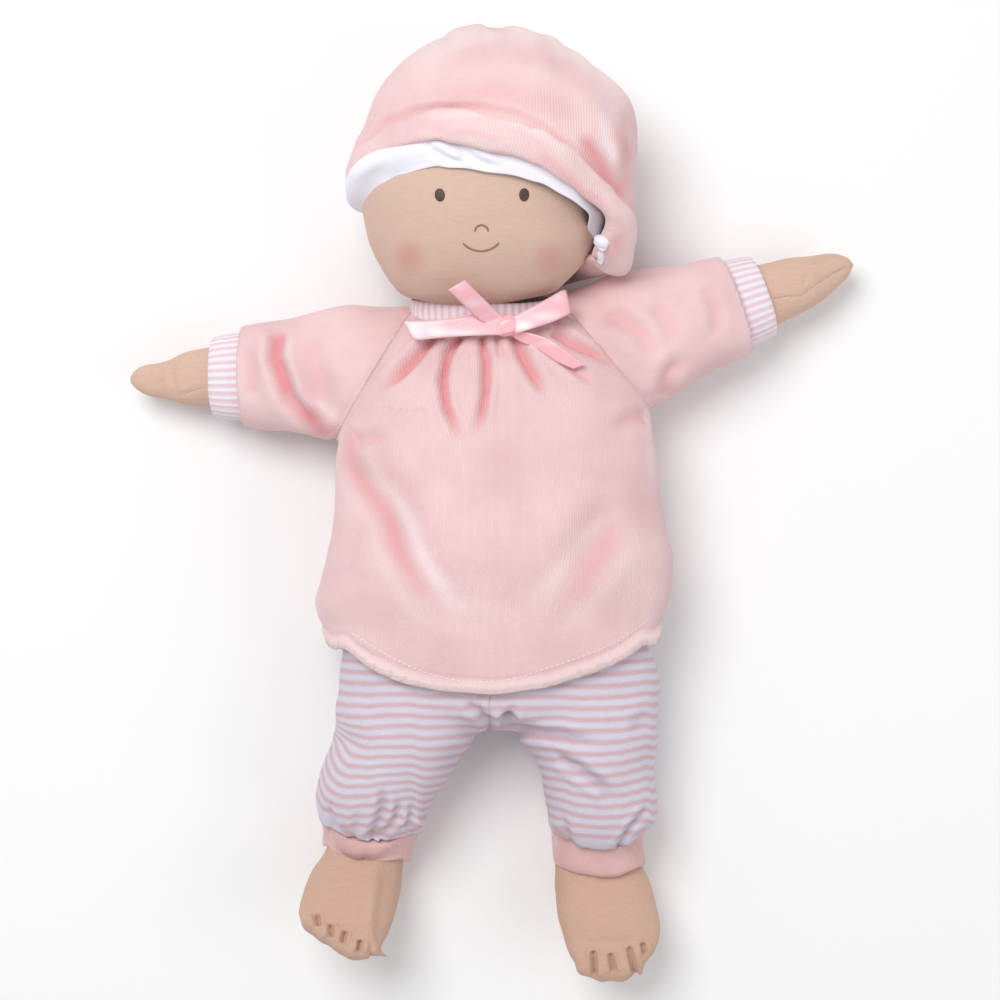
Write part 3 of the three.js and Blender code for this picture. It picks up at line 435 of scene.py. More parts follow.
# Painted light: the hat's velour is set a little lighter than the smock's, for the brighter light that falls
# on the hat at the top of the doll.
hat_velour_lit = make_velour("hat_velour_lit", linear(243, 213, 213), linear(233, 196, 197))
cuff_velour = make_velour("cuff_velour", linear(234, 196, 194), linear(216, 174, 172), wale=0.0009)
print("velour:", velour.name, cuff_velour.name)

# %% Striped knit and satin materials
def make_striped(name, pitch, share, direction, whites, pinks, bump=0.3):
    """Stripes that run across the attribute named in direction. Folds are painted greyer by their depth, as
    painted shade.
    """
    material, tree, shader = open_material(
        name, Roughness=0.9, Sheen_Weight=0.1, Sheen_Roughness=0.5, Specular_IOR_Level=0.15)
    place = object_place(tree)
    stripes = use_group(tree, stripe_group, {"Along": attribute(tree, direction), "Pitch": pitch,
                                             "Share": share, "Softness": 0.26})
    knit = use_group(tree, jersey_group, {"Vector": place, "Loop": 0.8})
    white = mix_colour(tree, knit["Slub"], *whites)
    pink = mix_colour(tree, knit["Slub"], *pinks)
    base = mix_colour(tree, stripes["Mask"], white, pink)
    # Painted shade: folds are mixed towards a grey mauve.
    shade = math_node(tree, "MULTIPLY", scaled(tree, attribute(tree, "painted_shade_and_highlight"), 0.0002, 0.0032), 0.62)
    base = mix_colour(tree, shade, base, linear(160, 138, 154))
    finish_surface(tree, shader, base, knit["Height"], bump, 0.0003)
    return material


# The trouser stripes are darker than the rib knit's: partly the yarn's greyer white, partly painted shade
# for the dimmer light on the legs low on the doll.
trouser_knit = make_striped("trouser_knit", 0.0040, 0.46, "along",
                            (linear(207, 200, 213), linear(222, 216, 229)),
                            (linear(203, 172, 178), linear(215, 186, 191)))
rib_knit = make_striped("rib_knit", 0.0029, 0.45, "across",
                        (linear(232, 226, 236), linear(244, 240, 247)),
                        (linear(228, 194, 200), linear(238, 210, 215)))
print("stripes:", trouser_knit.name, rib_knit.name)


def make_satin(name, colour):
    material, tree, shader = open_material(
        name, Roughness=0.28, Sheen_Weight=0.2, Sheen_Roughness=0.3, Specular_IOR_Level=0.7,
        Anisotropic=0.6)
    along = attribute(tree, "along")
    threads = math_node(tree, "SINE", math_node(tree, "MULTIPLY", along, 2 * math.pi / 0.0004))
    grain = add(tree, "ShaderNodeTexNoise", {"Vector": object_place(tree), "Scale": 700.0})
    share = math_node(tree, "MULTIPLY", grain.outputs["Fac"], 0.5)
    base = mix_colour(tree, share, colour, linear(255, 214, 218))
    glint = scaled(tree, attribute(tree, "painted_shade_and_highlight"), 0.0, -0.001)
    base = mix_colour(tree, glint, base, linear(255, 246, 248))
    finish_surface(tree, shader, base, threads, 0.08, 0.0001)
    return material


def make_thread(name, colour, bright):
    """Embroidery floss: a twist of fine filaments with a little gloss."""
    material, tree, shader = open_material(name, Roughness=0.55, Sheen_Weight=0.1)
    strands = add(tree, "ShaderNodeTexNoise", {"Vector": object_place(tree), "Scale": 2600.0, "Detail": 2.0})
    strand = strands.outputs["Fac"]
    finish_surface(tree, shader, mix_colour(tree, strand, colour, bright), strand, 0.3, 0.0001)
    return material


satin = make_satin("satin", linear(243, 172, 182))
eye_thread = make_thread("eye_thread", linear(52, 32, 24), linear(84, 58, 46))
face_thread = make_thread("face_thread", linear(138, 84, 76), linear(168, 112, 100))
seam_thread = make_thread("seam_thread", linear(166, 122, 100), linear(190, 148, 126))
pink_thread = make_thread("pink_thread", linear(246, 214, 212), linear(255, 236, 234))
print("materials:", len(bpy.data.materials))

# %% [markdown]
# ## Forms
# Stuffed pieces and garments are lofts: rounded sections along a spine. A table gives, for
# each share of the length, how far the section reaches to its two sides, its front and its
# back. The same tables shaped the solids, so the dressed pieces sit exactly on them.

# %% Reading a table
def read_table(rows, shares):
    """Each column of a table at the given shares, by a monotone cubic without overshoot."""
    rows = np.asarray(rows, float)
    x, values = rows[:, 0], rows[:, 1:]
    steps = np.diff(values, axis=0) / np.diff(x)[:, None]
    before, after = steps[:-1], steps[1:]
    same_way = before * after > 0
    safe = np.where(same_way, before + after, 1.0)
    middle = np.where(same_way, 2 * before * after / safe, 0.0)
    slopes = np.vstack([steps[:1], middle, steps[-1:]])
    index = np.clip(np.searchsorted(x, shares, side="left") - 1, 0, len(x) - 2)
    width = (x[index + 1] - x[index])[:, None]
    u = np.clip((shares - x[index])[:, None] / width, 0, 1)
    rise = u * u * (3 - 2 * u)
    leaving = slopes[index] * width * u * (1 - u) ** 2
    arriving = slopes[index + 1] * width * u * u * (1 - u)
    return values[index] + (values[index + 1] - values[index]) * rise + leaving - arriving


def smoothstep(value, low, high):
    share = np.clip((np.asarray(value, float) - low) / (high - low), 0, 1)
    return share * share * (3 - 2 * share)


# %% Spines
SPINE_SAMPLES = 60


def rounded_line(points):
    """A smooth line through points, sampled closely, as positions with their running length."""
    points = np.asarray(points, float)
    padded = np.vstack([2 * points[0] - points[1], points, 2 * points[-1] - points[-2]])
    samples = [points[:1]]
    for i in range(1, len(padded) - 2):
        p0, p1, p2, p3 = padded[i - 1:i + 3]
        gaps = [max(np.linalg.norm(b - a) ** 0.5, 1e-6) for a, b in ((p0, p1), (p1, p2), (p2, p3))]
        before = (p1 - p0) / gaps[0] - (p2 - p0) / (gaps[0] + gaps[1]) + (p2 - p1) / gaps[1]
        after = (p2 - p1) / gaps[1] - (p3 - p1) / (gaps[1] + gaps[2]) + (p3 - p2) / gaps[2]
        before, after = before * gaps[1], after * gaps[1]
        t = np.linspace(0, 1, SPINE_SAMPLES + 1)[1:, None]
        samples.append((2 * p1 - 2 * p2 + before + after) * t ** 3
                       + (-3 * p1 + 3 * p2 - 2 * before - after) * t ** 2 + before * t + p1)
    line = np.vstack(samples)
    length = np.concatenate([[0], np.cumsum(np.linalg.norm(np.diff(line, axis=0), axis=1))])
    return line, length


def on_line(line, length, shares):
    """Positions and directions at shares of a line's length."""
    def at(share):
        place = np.clip(share, 0, 1) * length[-1]
        return np.stack([np.interp(place, length, line[:, k]) for k in range(3)], axis=1)
    step = 1 / SPINE_SAMPLES / 2
    along = at(shares + step) - at(shares - step)
    return at(shares), along / np.linalg.norm(along, axis=1)[:, None]


def drawn_line(points, count):
    """Evenly spread places along a smooth line that is drawn on the sheet."""
    return on_line(*rounded_line([(x, y, 0) for x, y in points]), np.linspace(0, 1, count))[0][:, :2]


# %% Surface of a form
UP = np.array([0.0, 0.0, 1.0])


def make_form(spine, half_width, depth, outline, ease=0.0, eases=None, rounds=(0, 0), square=2.3,
              back=0.0, mirror=1):
    line, length = rounded_line(spine)
    return {"line": line, "length": length, "half_width": half_width, "depth": depth,
            "outline": outline, "ease": ease, "eases": eases, "rounds": rounds, "square": square,
            "back": back, "mirror": mirror}


def roundness(shares, rounds):
    from_start = shares / rounds[0] if rounds[0] else np.ones_like(shares)
    from_end = (1 - shares) / rounds[1] if rounds[1] else np.ones_like(shares)
    near = np.clip(np.minimum(from_start, from_end), 0, 1)
    return np.sqrt(1 - (1 - near) ** 2)


def signed_power(value, power):
    return np.sign(value) * np.abs(value) ** power


def surface(form, share, angle, grow=0.0):
    """Points of a form, in the doll's frame. Angle 0 is the first side, a quarter turn the front."""
    share, angle, grow = np.broadcast_arrays(np.asarray(share, float), angle, grow)
    shape = share.shape
    s, a, g = share.ravel(), angle.ravel(), grow.ravel()
    inside = np.clip(s, 0, 1)
    centre, along = on_line(form["line"], form["length"], inside)
    centre = centre + along * ((s - inside) * form["length"][-1] + g * (2 * inside - 1))[:, None]
    side = np.cross(UP, along)
    side /= np.linalg.norm(side, axis=1)[:, None]
    up = np.cross(along, side)
    first, second, front, behind = read_table(form["outline"], inside).T
    eases = read_table(form["eases"], inside).T * form["ease"] if form["eases"] else np.zeros((4, len(s)))
    reach = (first * form["half_width"] + eases[0], second * form["half_width"] + eases[1])
    height = (front * form["depth"] + eases[2], behind * form["depth"] - eases[3])
    closing = roundness(inside, form["rounds"])
    centre = centre + side * ((reach[0] - reach[1]) / 2)[:, None]
    centre = centre + up * ((height[0] + height[1]) / 2 + form["back"])[:, None]
    half_width = (reach[0] + reach[1]) / 2 * closing + g
    half_height = (height[0] - height[1]) / 2 * closing + g
    power = 2 / form["square"]
    points = centre + side * (signed_power(np.cos(a), power) * half_width)[:, None]
    points = points + up * (signed_power(np.sin(a), power) * half_height)[:, None]
    points[:, 0] *= form["mirror"]
    return points.reshape(shape + (3,)) + HIPS_PLACE


# The hip seam on the centre line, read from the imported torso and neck
NECK_X = -4.0
HIPS_PLACE = np.array([
    (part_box("neck")[0][0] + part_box("neck")[1][0]) / 2 / MM - NECK_X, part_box("torso")[0][1] / MM, 0.0])
print("hip seam at", HIPS_PLACE.round(2))

# %% [markdown]
# ## From points to meshes
# A loft becomes a mesh by joining its rings with quads. Two numbers go with every point:
# across, the distance round the cloth, and along, the distance down it. The materials use
# them for wales and stripes, so the pattern follows the cloth and not the room.

# %% Meshes from rings
BACK_ANGLE = 1.5 * math.pi


def turns_of(count):
    """Angles evenly spread round a full turn."""
    return 2 * math.pi * np.arange(count) / count


def ring_angles(count):
    """Angles round a form, starting at its back so that the pattern's join is hidden there."""
    return BACK_ANGLE + turns_of(count)


def ring_faces(rings, count, closed=False):
    faces = []
    for r in range(rings if closed else rings - 1):
        low, high = r * count, ((r + 1) % rings) * count
        for i in range(count):
            j = (i + 1) % count
            faces.append((low + i, low + j, high + j, high + i))
    return faces


def pattern_of(points, reference):
    """Across and along for a grid of points. Across is taken on one ring and kept down the piece."""
    ring = points[reference]
    steps = np.linalg.norm(np.diff(np.vstack([ring, ring[:1]]), axis=0), axis=1)
    across = np.concatenate([[0], np.cumsum(steps)[:-1]])
    down = np.linalg.norm(np.diff(points, axis=0), axis=2)
    along = np.vstack([np.zeros(points.shape[1]), np.cumsum(down, axis=0)])
    return np.broadcast_to(across, points.shape[:2]).copy(), along


def ring_part(points, reference=None, caps=(True, True)):
    """Vertices, faces and pattern of a tube of rings, closed with a point at each capped end."""
    rings, count = points.shape[:2]
    across, along = pattern_of(points, rings // 2 if reference is None else reference)
    verts = [tuple(p) for p in points.reshape(-1, 3)]
    faces = ring_faces(rings, count)
    across, along = list(across.ravel()), list(along.ravel())
    for wanted, row, turned in ((caps[0], 0, True), (caps[1], rings - 1, False)):
        if wanted:
            verts.append(tuple(points[row].mean(axis=0)))
            across.append(across[row * count])
            along.append(along[row * count])
            hub = len(verts) - 1
            for i in range(count):
                a, b = row * count + i, row * count + (i + 1) % count
                faces.append((hub, b, a) if turned else (hub, a, b))
    return verts, faces, across, along


def facing_out(verts, faces):
    """The faces of a closed shape, all turned outwards if its volume came out negative."""
    points = np.asarray(verts, float)
    points = points - points.mean(axis=0)
    volume = 0.0
    for face in faces:
        first = points[face[0]]
        for second, third in zip(face[1:-1], face[2:]):
            volume += first @ np.cross(points[second], points[third])
    return faces if volume > 0 else [tuple(reversed(face)) for face in faces]


def make_object(name, verts, faces, material, across=None, along=None):
    mesh = bpy.data.meshes.new(name)
    mesh.from_pydata([tuple(np.asarray(v) * MM) for v in verts], [], facing_out(verts, faces))
    piece = bpy.data.objects.new(name, mesh)
    for label, values in (("across", across), ("along", along)):
        if values is not None:
            set_attribute(piece, label, values)
    mesh.materials.append(material)
    mesh.validate()
    mesh.update()
    mesh.shade_smooth()
    bpy.context.collection.objects.link(piece)
    return piece


def loft(name, points, material, reference=None, caps=(True, True)):
    verts, faces, across, along = ring_part(points, reference, caps)
    return make_object(name, verts, faces, material, across, along)


def hoop(name, points, material):
    """A band or roll that closes on itself both ways: rows run round its section."""
    rows, count = points.shape[:2]
    across, along = pattern_of(points, 0)
    return make_object(name, points.reshape(-1, 3), ring_faces(rows, count, closed=True), material,
                       across.ravel(), along.ravel())


def vectors(source, label):
    values = np.empty(len(source) * 3, np.float32)
    source.foreach_get(label, values)
    return values.reshape(-1, 3).astype(float)


def coordinates(piece):
    return vectors(piece.data.vertices, "co") / MM


def normals(piece):
    return vectors(piece.data.vertex_normals, "vector")


def set_coordinates(piece, points):
    piece.data.vertices.foreach_set("co", (points * MM).astype(np.float32).ravel())
    piece.data.update()


def set_attribute(piece, label, values):
    found = piece.data.attributes.get(label) or piece.data.attributes.new(label, "FLOAT", "POINT")
    found.data.foreach_set("value", (np.asarray(values, float) * MM).astype(np.float32))


def get_attribute(piece, label):
    values = np.empty(len(piece.data.vertices), np.float32)
    piece.data.attributes[label].data.foreach_get("value", values)
    return values.astype(float) / MM


def settle_modifiers(piece):
    """Applies every modifier of a piece to its mesh."""
    graph = bpy.context.evaluated_depsgraph_get()
    mesh = bpy.data.meshes.new_from_object(piece.evaluated_get(graph), depsgraph=graph)
    mesh.name = piece.name
    piece.modifiers.clear()
    piece.data = mesh
    mesh.shade_smooth()
    return piece


def subdivide(piece):
    modifier = piece.modifiers.new("smooth", "SUBSURF")
    modifier.levels = modifier.render_levels = 1
    return settle_modifiers(piece)


def voxel_skin(piece, voxel):
    """Replaces a closed piece's mesh by an even net of the same shape and material."""
    material = piece.data.materials[0]
    modifier = piece.modifiers.new("net", "REMESH")
    modifier.mode = "VOXEL"
    modifier.voxel_size = voxel * MM
    settle_modifiers(piece)
    piece.data.materials.clear()
    piece.data.materials.append(material)


# Cloth below this height is pressed flat by the doll's weight instead of sinking into the floor
FLOOR_CUSHION = 2.0


def rider(piece, body, slot, *nodes):
    """Says what a piece moves with and which solids it stands for. Its slot, the record finish, is not used.
    """
    points = coordinates(piece)
    low = points[:, 2] < FLOOR_CUSHION
    points[low, 2] = FLOOR_CUSHION * np.exp(points[low, 2] / FLOOR_CUSHION - 1)
    set_coordinates(piece, points)
    if body:
        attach(piece, body)
    if nodes:
        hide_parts(*nodes)
    return piece


print("helpers ready")

# %% [markdown]
# ## Folds
# A fold is drawn as a line on the sheet, with its width in steps of the sheet and its depth
# in millimetres. Across the line the cloth dips or stands, and it swells a little on both
# sides, because the stuff that leaves the valley has to go somewhere. It fades at both ends.

# %% Folds
def line_distance(places, line):
    """For each place, the distance to a line of points and the share of the line reached there."""
    line = np.asarray(line, float)
    lengths = np.linalg.norm(np.diff(line, axis=0), axis=1)
    starts = np.concatenate([[0], np.cumsum(lengths)])
    best = np.full(len(places), 1e9)
    share = np.zeros(len(places))
    for i, length in enumerate(lengths):
        direction = (line[i + 1] - line[i]) / length
        reach = np.clip((places - line[i]) @ direction, 0, length)
        gap = np.linalg.norm(places - line[i] - reach[:, None] * direction, axis=1)
        nearer = gap < best
        best[nearer] = gap[nearer]
        share[nearer] = (starts[i] + reach[nearer]) / starts[-1]
    return best, share


SHOULDER_SHARE = 0.38


def fold_heights(places, folds):
    """How far the cloth stands out at places on the sheet. A fold is (line, width, depth, fades)."""
    total = np.zeros(len(places))
    for line, width, depth, fades in folds:
        apart, share = line_distance(places, line)
        across = apart / width
        profile = np.exp(-across ** 2) - SHOULDER_SHARE * np.exp(-(across - 1.75) ** 2 * 1.6)
        fade = smoothstep(share, -0.001, fades[0]) * (1 - smoothstep(share, 1 - fades[1], 1.001))
        total += depth * profile * fade
    return total


def dents(places, spots):
    """Round soft hollows or swellings: (x, y, half width, half height, depth)."""
    total = np.zeros(len(places))
    for x, y, wide, high, depth in spots:
        off = ((places[:, 0] - x) / wide) ** 2 + ((places[:, 1] - y) / high) ** 2
        total += depth * np.exp(-off)
    return total


def facing_up(piece, low=0.0, high=0.5):
    return smoothstep(normals(piece)[:, 2], low, high)


STEEP_WIDTH = 6.0


def fold_cloth(piece, folds, spots=(), weight=None):
    """Moves the side that faces the viewer by its folds and dents, along its normals."""
    points = coordinates(piece)
    places = to_sheet(points)
    weight = facing_up(piece) if weight is None else weight
    shift = (fold_heights(places, folds) + dents(places, spots)) * weight
    # The fold depth, weakened where a fold is wide, is stored for the materials, which paint shade into the
    # folds by it.
    steep = [(line, width, depth * min(1.0, STEEP_WIDTH / width), fades)
             for line, width, depth, fades in folds]
    drawn = fold_heights(places, steep) * weight
    set_coordinates(piece, points + normals(piece) * shift[:, None])
    set_attribute(piece, "painted_shade_and_highlight", np.maximum(-drawn, 0))


OUTLINE_REACH = 16.0


def draw_to_outline(pieces, axis, table, fade=8.0, window=3.5, evenings=8):
    """Draws pieces together to an outline on the sheet. A row of the table is a position across
    the axis and the two ends wanted there. An end of None stays as it is."""
    pieces = pieces if isinstance(pieces, list) else [pieces]
    everywhere = np.vstack([to_sheet(coordinates(piece)) for piece in pieces])
    value, position = everywhere[:, axis], everywhere[:, 1 - axis]
    grid = np.arange(position.min() + window, position.max() - window, 2.0)
    near = [value[np.abs(position - place) < window] for place in grid]
    known = [i for i, found in enumerate(near) if len(found)]
    rows = np.array([[np.nan if end is None else end for end in row] for row in table], float)
    for piece in pieces:
        points = coordinates(piece)
        places = to_sheet(points)
        value, position = places[:, axis].copy(), places[:, 1 - axis]
        inside = smoothstep(position, rows[0, 0] - fade, rows[0, 0])
        inside *= 1 - smoothstep(position, rows[-1, 0], rows[-1, 0] + fade)
        ends = [np.interp(position, grid[known], [pick(near[i]) for i in known])
                for pick in (np.min, np.max)]
        gaps = [np.nan_to_num(np.interp(position, rows[:, 0], rows[:, k + 1]) - ends[k])
                for k in (0, 1)]
        share = np.clip((value - ends[0]) / np.maximum(ends[1] - ends[0], 1e-6), 0, 1)
        shift = (gaps[0] * (1 - share) + gaps[1] * share) * inside
        shift = evened(piece, np.clip(shift, -OUTLINE_REACH, OUTLINE_REACH)[:, None], evenings)[:, 0]
        places[:, axis] += shift
        set_coordinates(piece, from_sheet(places, points[:, 2]))


# Slow waves that keep cloth and stuffing from looking machined
def waves(points, size, seed):
    draws = np.random.default_rng(seed)
    total = np.zeros(len(points))
    for _ in range(6):
        direction = draws.normal(size=3)
        direction *= 2 * math.pi / size / np.linalg.norm(direction) * draws.uniform(0.6, 1.5)
        total += np.sin(points @ direction + draws.uniform(0, 2 * math.pi))
    return total / 6


def roughen(piece, size, depth, seed):
    points = coordinates(piece)
    set_coordinates(piece, points + normals(piece) * (waves(points, size, seed) * depth)[:, None])


print("fold helpers ready")

# %% [markdown]
# ## Garments in one skin
# A smock is a body and two sleeves sewn into one. Modelled apart, their joins would show as
# steps. So the lofts are merged by a voxel remesh, which makes one even skin round them all,
# and the skin is cut along the seams afterwards. Each vertex takes its pattern from the loft
# that it lies nearest to.

# %% Merging lofts
PATTERN_JOIN = 30.0


def garment_part(points, reference, open_start, open_end, first=0, shift=0.0):
    """A tube of cloth for merging. An open end is closed for now and opened once merged."""
    verts, faces, across, along = ring_part(points, reference)
    rings, count = points.shape[:2]
    walls = (rings - 1) * count
    lids = (list(range(walls, walls + count)) if open_start else [],
            list(range(walls + count, walls + 2 * count)) if open_end else [])
    rims = [points[row] for row, wanted in ((0, open_start), (-1, open_end)) if wanted]
    along = list(np.asarray(along) - along[first * count] + shift)
    return {"verts": verts, "faces": faces, "across": across, "along": along,
            "lids": lids[0] + lids[1], "rims": rims}


def merged(name, parts, voxel, material):
    """One skin round several closed parts, opened at their lids, with the pattern carried over."""
    verts, faces, across, along, lids = [], [], [], [], set()
    for part in parts:
        start = len(verts)
        lids |= {len(faces) + i for i in part["lids"]}
        verts += part["verts"]
        faces += [tuple(i + start for i in f) for f in part["faces"]]
        across += list(part["across"])
        along += list(part["along"])
    piece = make_object(name, verts, faces, material)
    source = BVHTree.FromPolygons([tuple(v) for v in verts], faces)
    voxel_skin(piece, voxel)
    open_lids(piece, source, lids, [rim for part in parts for rim in part["rims"]], voxel)
    relax(piece, 6)
    corners = np.asarray(verts, float)
    values = np.stack([across, along], axis=1)
    taken = np.zeros((len(piece.data.vertices), 2))
    for i, point in enumerate(coordinates(piece)):
        face = faces[source.find_nearest(Vector(point))[2]]
        near = values[list(face)]
        weight = 1 / (np.linalg.norm(corners[list(face)] - point, axis=1) + 0.01)
        if np.ptp(near[:, 0]) > PATTERN_JOIN:
            near, weight = near[:1], weight[:1]
        taken[i] = weight @ near / weight.sum()
    set_attribute(piece, "across", taken[:, 0])
    set_attribute(piece, "along", evened(piece, taken[:, 1:], 12)[:, 0])
    return piece


def evened(piece, values, times, share=0.6):
    """Evens out numbers that belong to the vertices, by their neighbours' mean."""
    edges = np.empty(len(piece.data.edges) * 2, np.int32)
    piece.data.edges.foreach_get("vertices", edges)
    edges = edges.reshape(-1, 2)
    count = np.bincount(edges.ravel(), minlength=len(values)).clip(1)[:, None]
    values = values.copy()
    for _ in range(times):
        total = np.zeros_like(values)
        for k in range(values.shape[1]):
            total[:, k] = np.bincount(edges[:, 0], values[edges[:, 1], k], len(values))
            total[:, k] += np.bincount(edges[:, 1], values[edges[:, 0], k], len(values))
        values += (total / count - values) * share
    return values


def open_lids(piece, source, lids, rims, voxel):
    """Removes the faces that lie on a lid and draws the open edge onto its rim."""
    mesh = bmesh.new()
    mesh.from_mesh(piece.data)
    on_lid = [f for f in mesh.faces if source.find_nearest(f.calc_center_median() / MM)[2] in lids]
    bmesh.ops.delete(mesh, geom=on_lid, context="FACES")
    curves = [np.vstack([rim, rim[:1]]) for rim in rims]
    for vert in [v for v in mesh.verts if v.is_boundary]:
        place = np.array(vert.co) / MM
        spots = [nearest_on(curve, place) for curve in curves]
        best = min(spots, key=lambda spot: np.linalg.norm(spot - place), default=place)
        if np.linalg.norm(best - place) < 3 * voxel:
            vert.co = Vector(best) * MM
    even_border(mesh, 10)
    mesh.to_mesh(piece.data)
    mesh.free()


def even_border(mesh, times):
    """Spaces the points of the open edges evenly, so that the edges run smoothly."""
    border = [vert for vert in mesh.verts if vert.is_boundary]
    beside = {vert: [edge.other_vert(vert) for edge in vert.link_edges if edge.is_boundary]
              for vert in border}
    for _ in range(times):
        wanted = {vert: sum((other.co for other in others), Vector()) / len(others)
                  for vert, others in beside.items() if len(others) == 2}
        for vert, place in wanted.items():
            vert.co = vert.co.lerp(place, 0.5)


def nearest_on(curve, place):
    steps = np.diff(curve, axis=0)
    share = np.einsum("ij,ij->i", place - curve[:-1], steps) / np.maximum(np.sum(steps ** 2, axis=1), 1e-9)
    spots = curve[:-1] + np.clip(share, 0, 1)[:, None] * steps
    return spots[np.argmin(np.linalg.norm(spots - place, axis=1))]


def thicken(piece, thickness):
    """Gives cloth its thickness, inwards."""
    modifier = piece.modifiers.new("cloth_thickness", "SOLIDIFY")
    modifier.thickness = thickness * MM
    modifier.offset = -1.0
    modifier.use_rim = True
    return settle_modifiers(piece)


def seam_groove(piece, point, direction, width, depth):
    """Sinks the cloth along the plane where two panels are sewn together."""
    points = coordinates(piece)
    direction = np.asarray(direction, float) / np.linalg.norm(direction)
    apart = (points - point) @ direction
    shift = -depth * np.exp(-(apart / width) ** 2)
    shift += depth * 0.35 * np.exp(-((np.abs(apart) - 2.2 * width) / width) ** 2)
    set_coordinates(piece, points + normals(piece) * shift[:, None])


SLIVER = 0.45
NEAR_CUT = 2.6


def mark_cut(piece, point, direction):
    """Puts a clean row of edges along the plane of a seam, without thin faces beside it."""
    mesh = bmesh.new()
    mesh.from_mesh(piece.data)
    found = bmesh.ops.bisect_plane(mesh, geom=mesh.verts[:] + mesh.edges[:] + mesh.faces[:], dist=1e-7,
                                   plane_co=Vector(point) * MM, plane_no=Vector(direction))["geom_cut"]
    on_cut = {item for item in found if isinstance(item, bmesh.types.BMVert)}
    target = {}
    for vert in on_cut:
        for edge in vert.link_edges:
            other = edge.other_vert(vert)
            if other not in on_cut and not other.is_boundary and edge.calc_length() < SLIVER * MM:
                target.setdefault(other, vert)
    bmesh.ops.weld_verts(mesh, targetmap=target)
    bmesh.ops.remove_doubles(mesh, verts=[v for v in on_cut if v.is_valid], dist=SLIVER * MM * 0.8)
    mesh.to_mesh(piece.data)
    mesh.free()
    points = coordinates(piece)
    apart = np.abs((points - point) @ (np.asarray(direction, float) / np.linalg.norm(direction)))
    loose = (apart > 0.01) & (apart < NEAR_CUT) & ~border_points(piece)
    set_coordinates(piece, evened(piece, points, 4, 0.5 * loose[:, None]))


def cut_away(piece, name, point, direction, keep_ahead):
    """A copy of a piece on one side of a plane that its edges already follow."""
    copy = bpy.data.objects.new(name, piece.data.copy())
    copy.data.name = name
    bpy.context.collection.objects.link(copy)
    mesh = bmesh.new()
    mesh.from_mesh(copy.data)
    side = Vector(direction) * (1 if keep_ahead else -1)
    other = [f for f in mesh.faces if (f.calc_center_median() - Vector(point) * MM).dot(side) < 0]
    bmesh.ops.delete(mesh, geom=other, context="FACES")
    mesh.to_mesh(copy.data)
    mesh.free()
    copy.data.shade_smooth()
    return copy


def border_points(piece):
    """Which vertices lie on an open edge of the mesh."""
    uses = np.zeros(len(piece.data.edges), int)
    for face in piece.data.polygons:
        for loop in face.loop_indices:
            uses[piece.data.loops[loop].edge_index] += 1
    ends = np.array([tuple(e.vertices) for e in piece.data.edges])[uses == 1].ravel()
    found = np.zeros(len(piece.data.vertices), bool)
    found[ends] = True
    return found


def relax(piece, times, share=0.5):
    """Evens out a mesh by moving each vertex towards its neighbours' middle."""
    inner = ~border_points(piece)[:, None]
    set_coordinates(piece, evened(piece, coordinates(piece), times, share * inner))


print("merging helpers ready")

# %% [markdown]
# ## Stuffing
# A stuffed toy is a bag under pressure. Each stuffed piece starts a little smaller than it
# should be, gets an even net of small faces, and is blown up by the cloth simulation without
# gravity. A cap on how far a point may move keeps the piece inside its place. The seams and
# toes are drawn after that, because an even net would lose them.

# %% Stuffing a bag
STUFFING_FRAMES = 16
STUFFING_PRESSURE = 3.0


def stuff(piece, voxel, cap):
    """Swells a closed piece with cloth simulation. No point moves further than the cap."""
    across, along = get_attribute(piece, "across"), get_attribute(piece, "along")
    before = coordinates(piece)
    faces = [tuple(f.vertices) for f in piece.data.polygons]
    source = BVHTree.FromPolygons([tuple(v) for v in before], faces)
    voxel_skin(piece, voxel)
    start = coordinates(piece)
    cloth = piece.modifiers.new("cloth", "CLOTH")
    cloth.settings.use_pressure = True
    cloth.settings.uniform_pressure_force = STUFFING_PRESSURE
    cloth.settings.effector_weights.gravity = 0.0
    cloth.settings.mass = 0.2
    cloth.settings.tension_stiffness = 12.0
    cloth.settings.bending_stiffness = 2.0
    cloth.point_cache.frame_start = 1
    cloth.point_cache.frame_end = STUFFING_FRAMES
    for number in range(1, STUFFING_FRAMES + 1):
        bpy.context.scene.frame_set(number)
    settle_modifiers(piece)
    bpy.context.scene.frame_set(1)
    moved = coordinates(piece) - start
    reach = np.linalg.norm(moved, axis=1)[:, None]
    set_coordinates(piece, start + moved * np.minimum(1.0, cap / np.maximum(reach, 1e-9)))
    subdivide(piece)
    points = coordinates(piece)
    nearest = [faces[source.find_nearest(Vector(p))[2]][0] for p in points]
    set_attribute(piece, "across", across[nearest])
    set_attribute(piece, "along", along[nearest])
    return piece


def seat_on(piece, places, lift=0.0):
    """Points on a piece's upper face under the sheet's places, lifted along its normal."""
    tree = BVHTree.FromObject(piece, bpy.context.evaluated_depsgraph_get())
    seats = []
    for x, y in places:
        eye = Vector(CAMERA_PLACE) * MM
        aim = (Vector(on_sheet(x, y)) * MM - eye).normalized()
        spot, normal, _, _ = tree.ray_cast(eye, aim)
        if spot is None:
            spot, normal, _, _ = tree.find_nearest(Vector(on_sheet(x, y, 16.0)) * MM)
        seats.append(np.array(spot) / MM + np.array(normal) * lift)
    return np.array(seats)


